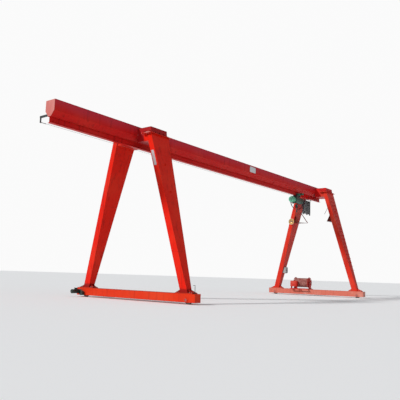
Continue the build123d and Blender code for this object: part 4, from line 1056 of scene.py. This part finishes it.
def clampCarriers(hung, look):
    side, (low, high) = hung["side"], (hung["top"] + z for z in look["z"])
    shape, spots = bmesh.new(), []
    for number in range(8):
        x = hung["first"] + number * hung["pitch"]
        for end in (-1, 1):
            middle = x + end * look["x"]
            addBlock(shape, (middle - look["width"], side - look["y"], low),
                     (middle + look["width"], side + look["y"], high), 0.004)
            spots += [((middle, side + way * look["boltY"], high), (0, 0, 1)) for way in (-1, 1)]
        turnProfile(shape, look["cap"], (x, side + 0.017, look["axleZ"]), (0, 1, 0), 16)
    finishPiece("cableClamps", shape, dark, "crane_frame", 40)
    boltField("clampBolts", spots, 0.008, "crane_frame")
    shape = bmesh.new()
    for offset in hung["rows"]:
        turnProfile(shape, look["gland"], (look["towX"], side + offset, look["towZ"]), (0, 0, -1), 20)
    finishPiece("towGlands", shape, rubber, "hoist_trolley", 40)
    shape = bmesh.new()  # tensioner nuts and eye on the wire
    for x, length, radius in look["nuts"]:
        addBar(shape, (x, side, look["wireZ"]), (x + length, side, look["wireZ"]), radius, 6)
    finishPiece("wireNuts", shape, zinc, "crane_frame", 30)


clampCarriers(festoon, clampLook)
print("small fittings placed")

# finishes of the carried nodes, by the start of their names; the others are red
nodeLooks = ((dark, "festoon_arms festoon_carriers trolley_frame tow_arm hook_block storm_pin"),
             (bracketShadeRed, "leg_bracket"), (yellow, "leg_lamp"), (farRed, "leg_far"), (legRed, "leg_near"),
             (saddleShadeRed, "saddle_near"), (farBeamRed, "ground_beam_far"), (beamRed, "ground_beam_near"),
             (girderRed, "girder_box runway_beam"), (paleLitRed, "girder_end_plate_near"),
             (reelRed, "reel_drum reel_box"), (reelSheath, "reel_cable"), (motorGreen, "travel_drive"),
             (wheelSteel, "trolley_wheel travel_wheel hoist_drum"), (ropeSteel, "festoon_wire hoist_ropes"),
             (sheath, "festoon_loops festoon_lead"), (teal, "trolley_motor"),
             (hoistShadeGreen, "hoist_case hoist_gearbox"), (tealLight, "hoist_motor"),
             (grey, "hoist_control_box control_cabinet"), (forged, "hook"))
for name, carried in nodes.items():
    looks = next((one for one, starts in nodeLooks if name.startswith(tuple(starts.split()))), red)
    for place in range(len(carried.data.materials)):
        carried.data.materials[place] = looks
    if not carried.data.materials:
        carried.data.materials.append(looks)
print("nodes finished")

# studio: pale floor, a large soft key on the near end, weaker light on the right side
studio = {"floor": (0.93, 0.93, 0.93), "sky": 0.35, "seen": 0.96, "key": 2.7, "keyFrom": (-0.80, 0.33, 0.50),
          "keyAngle": 7, "side": 0.25, "sideFrom": (-0.1, -0.8, 0.6), "sideAngle": 50}


def addSun(name, strength, comesFrom, angle):
    data = bpy.data.lights.new(name, "SUN")
    data.energy = strength
    data.angle = math.radians(angle)
    lamp = addObject(name, data)
    lamp.matrix_world = Vector((0, 0, 1)).rotation_difference(Vector(comesFrom)).to_matrix().to_4x4()


def buildStudio(look):
    shape = bmesh.new()
    bmesh.ops.create_grid(shape, x_segments=1, y_segments=1, size=400)
    mesh = bpy.data.meshes.new("studioFloor")
    shape.to_mesh(mesh)
    shape.free()
    ground = Finish("studioFloor")
    tone = ground.blendColours(ground.noise(0.05, 2) * 0.03, look["floor"], (0.7, 0.7, 0.7))
    mesh.materials.append(ground.done(tone, 0.9, specular=0.1))
    addObject("studioFloor", mesh)
    world = bpy.data.worlds.new("studio")
    world.use_nodes = True
    tree = world.node_tree
    lit = tree.nodes["Background"]
    lit.inputs[0].default_value = (0.93, 0.96, 1, 1)
    lit.inputs[1].default_value = look["sky"]
    seen = tree.nodes.new("ShaderNodeBackground")  # the bright wall behind, seen and not lighting
    seen.inputs[0].default_value = (1, 1, 1, 1)
    seen.inputs[1].default_value = look["seen"]
    mix = tree.nodes.new("ShaderNodeMixShader")
    ray = tree.nodes.new("ShaderNodeLightPath")
    tree.links.new(ray.outputs["Is Camera Ray"], mix.inputs[0])
    tree.links.new(lit.outputs[0], mix.inputs[1])
    tree.links.new(seen.outputs[0], mix.inputs[2])
    tree.links.new(mix.outputs[0], tree.nodes["World Output"].inputs[0])
    bpy.context.scene.world = world
    addSun("key", look["key"], look["keyFrom"], look["keyAngle"])
    addSun("side", look["side"], look["sideFrom"], look["sideAngle"])


buildStudio(studio)
bpy.context.scene.view_settings.view_transform = "Standard"
print("studio lit")
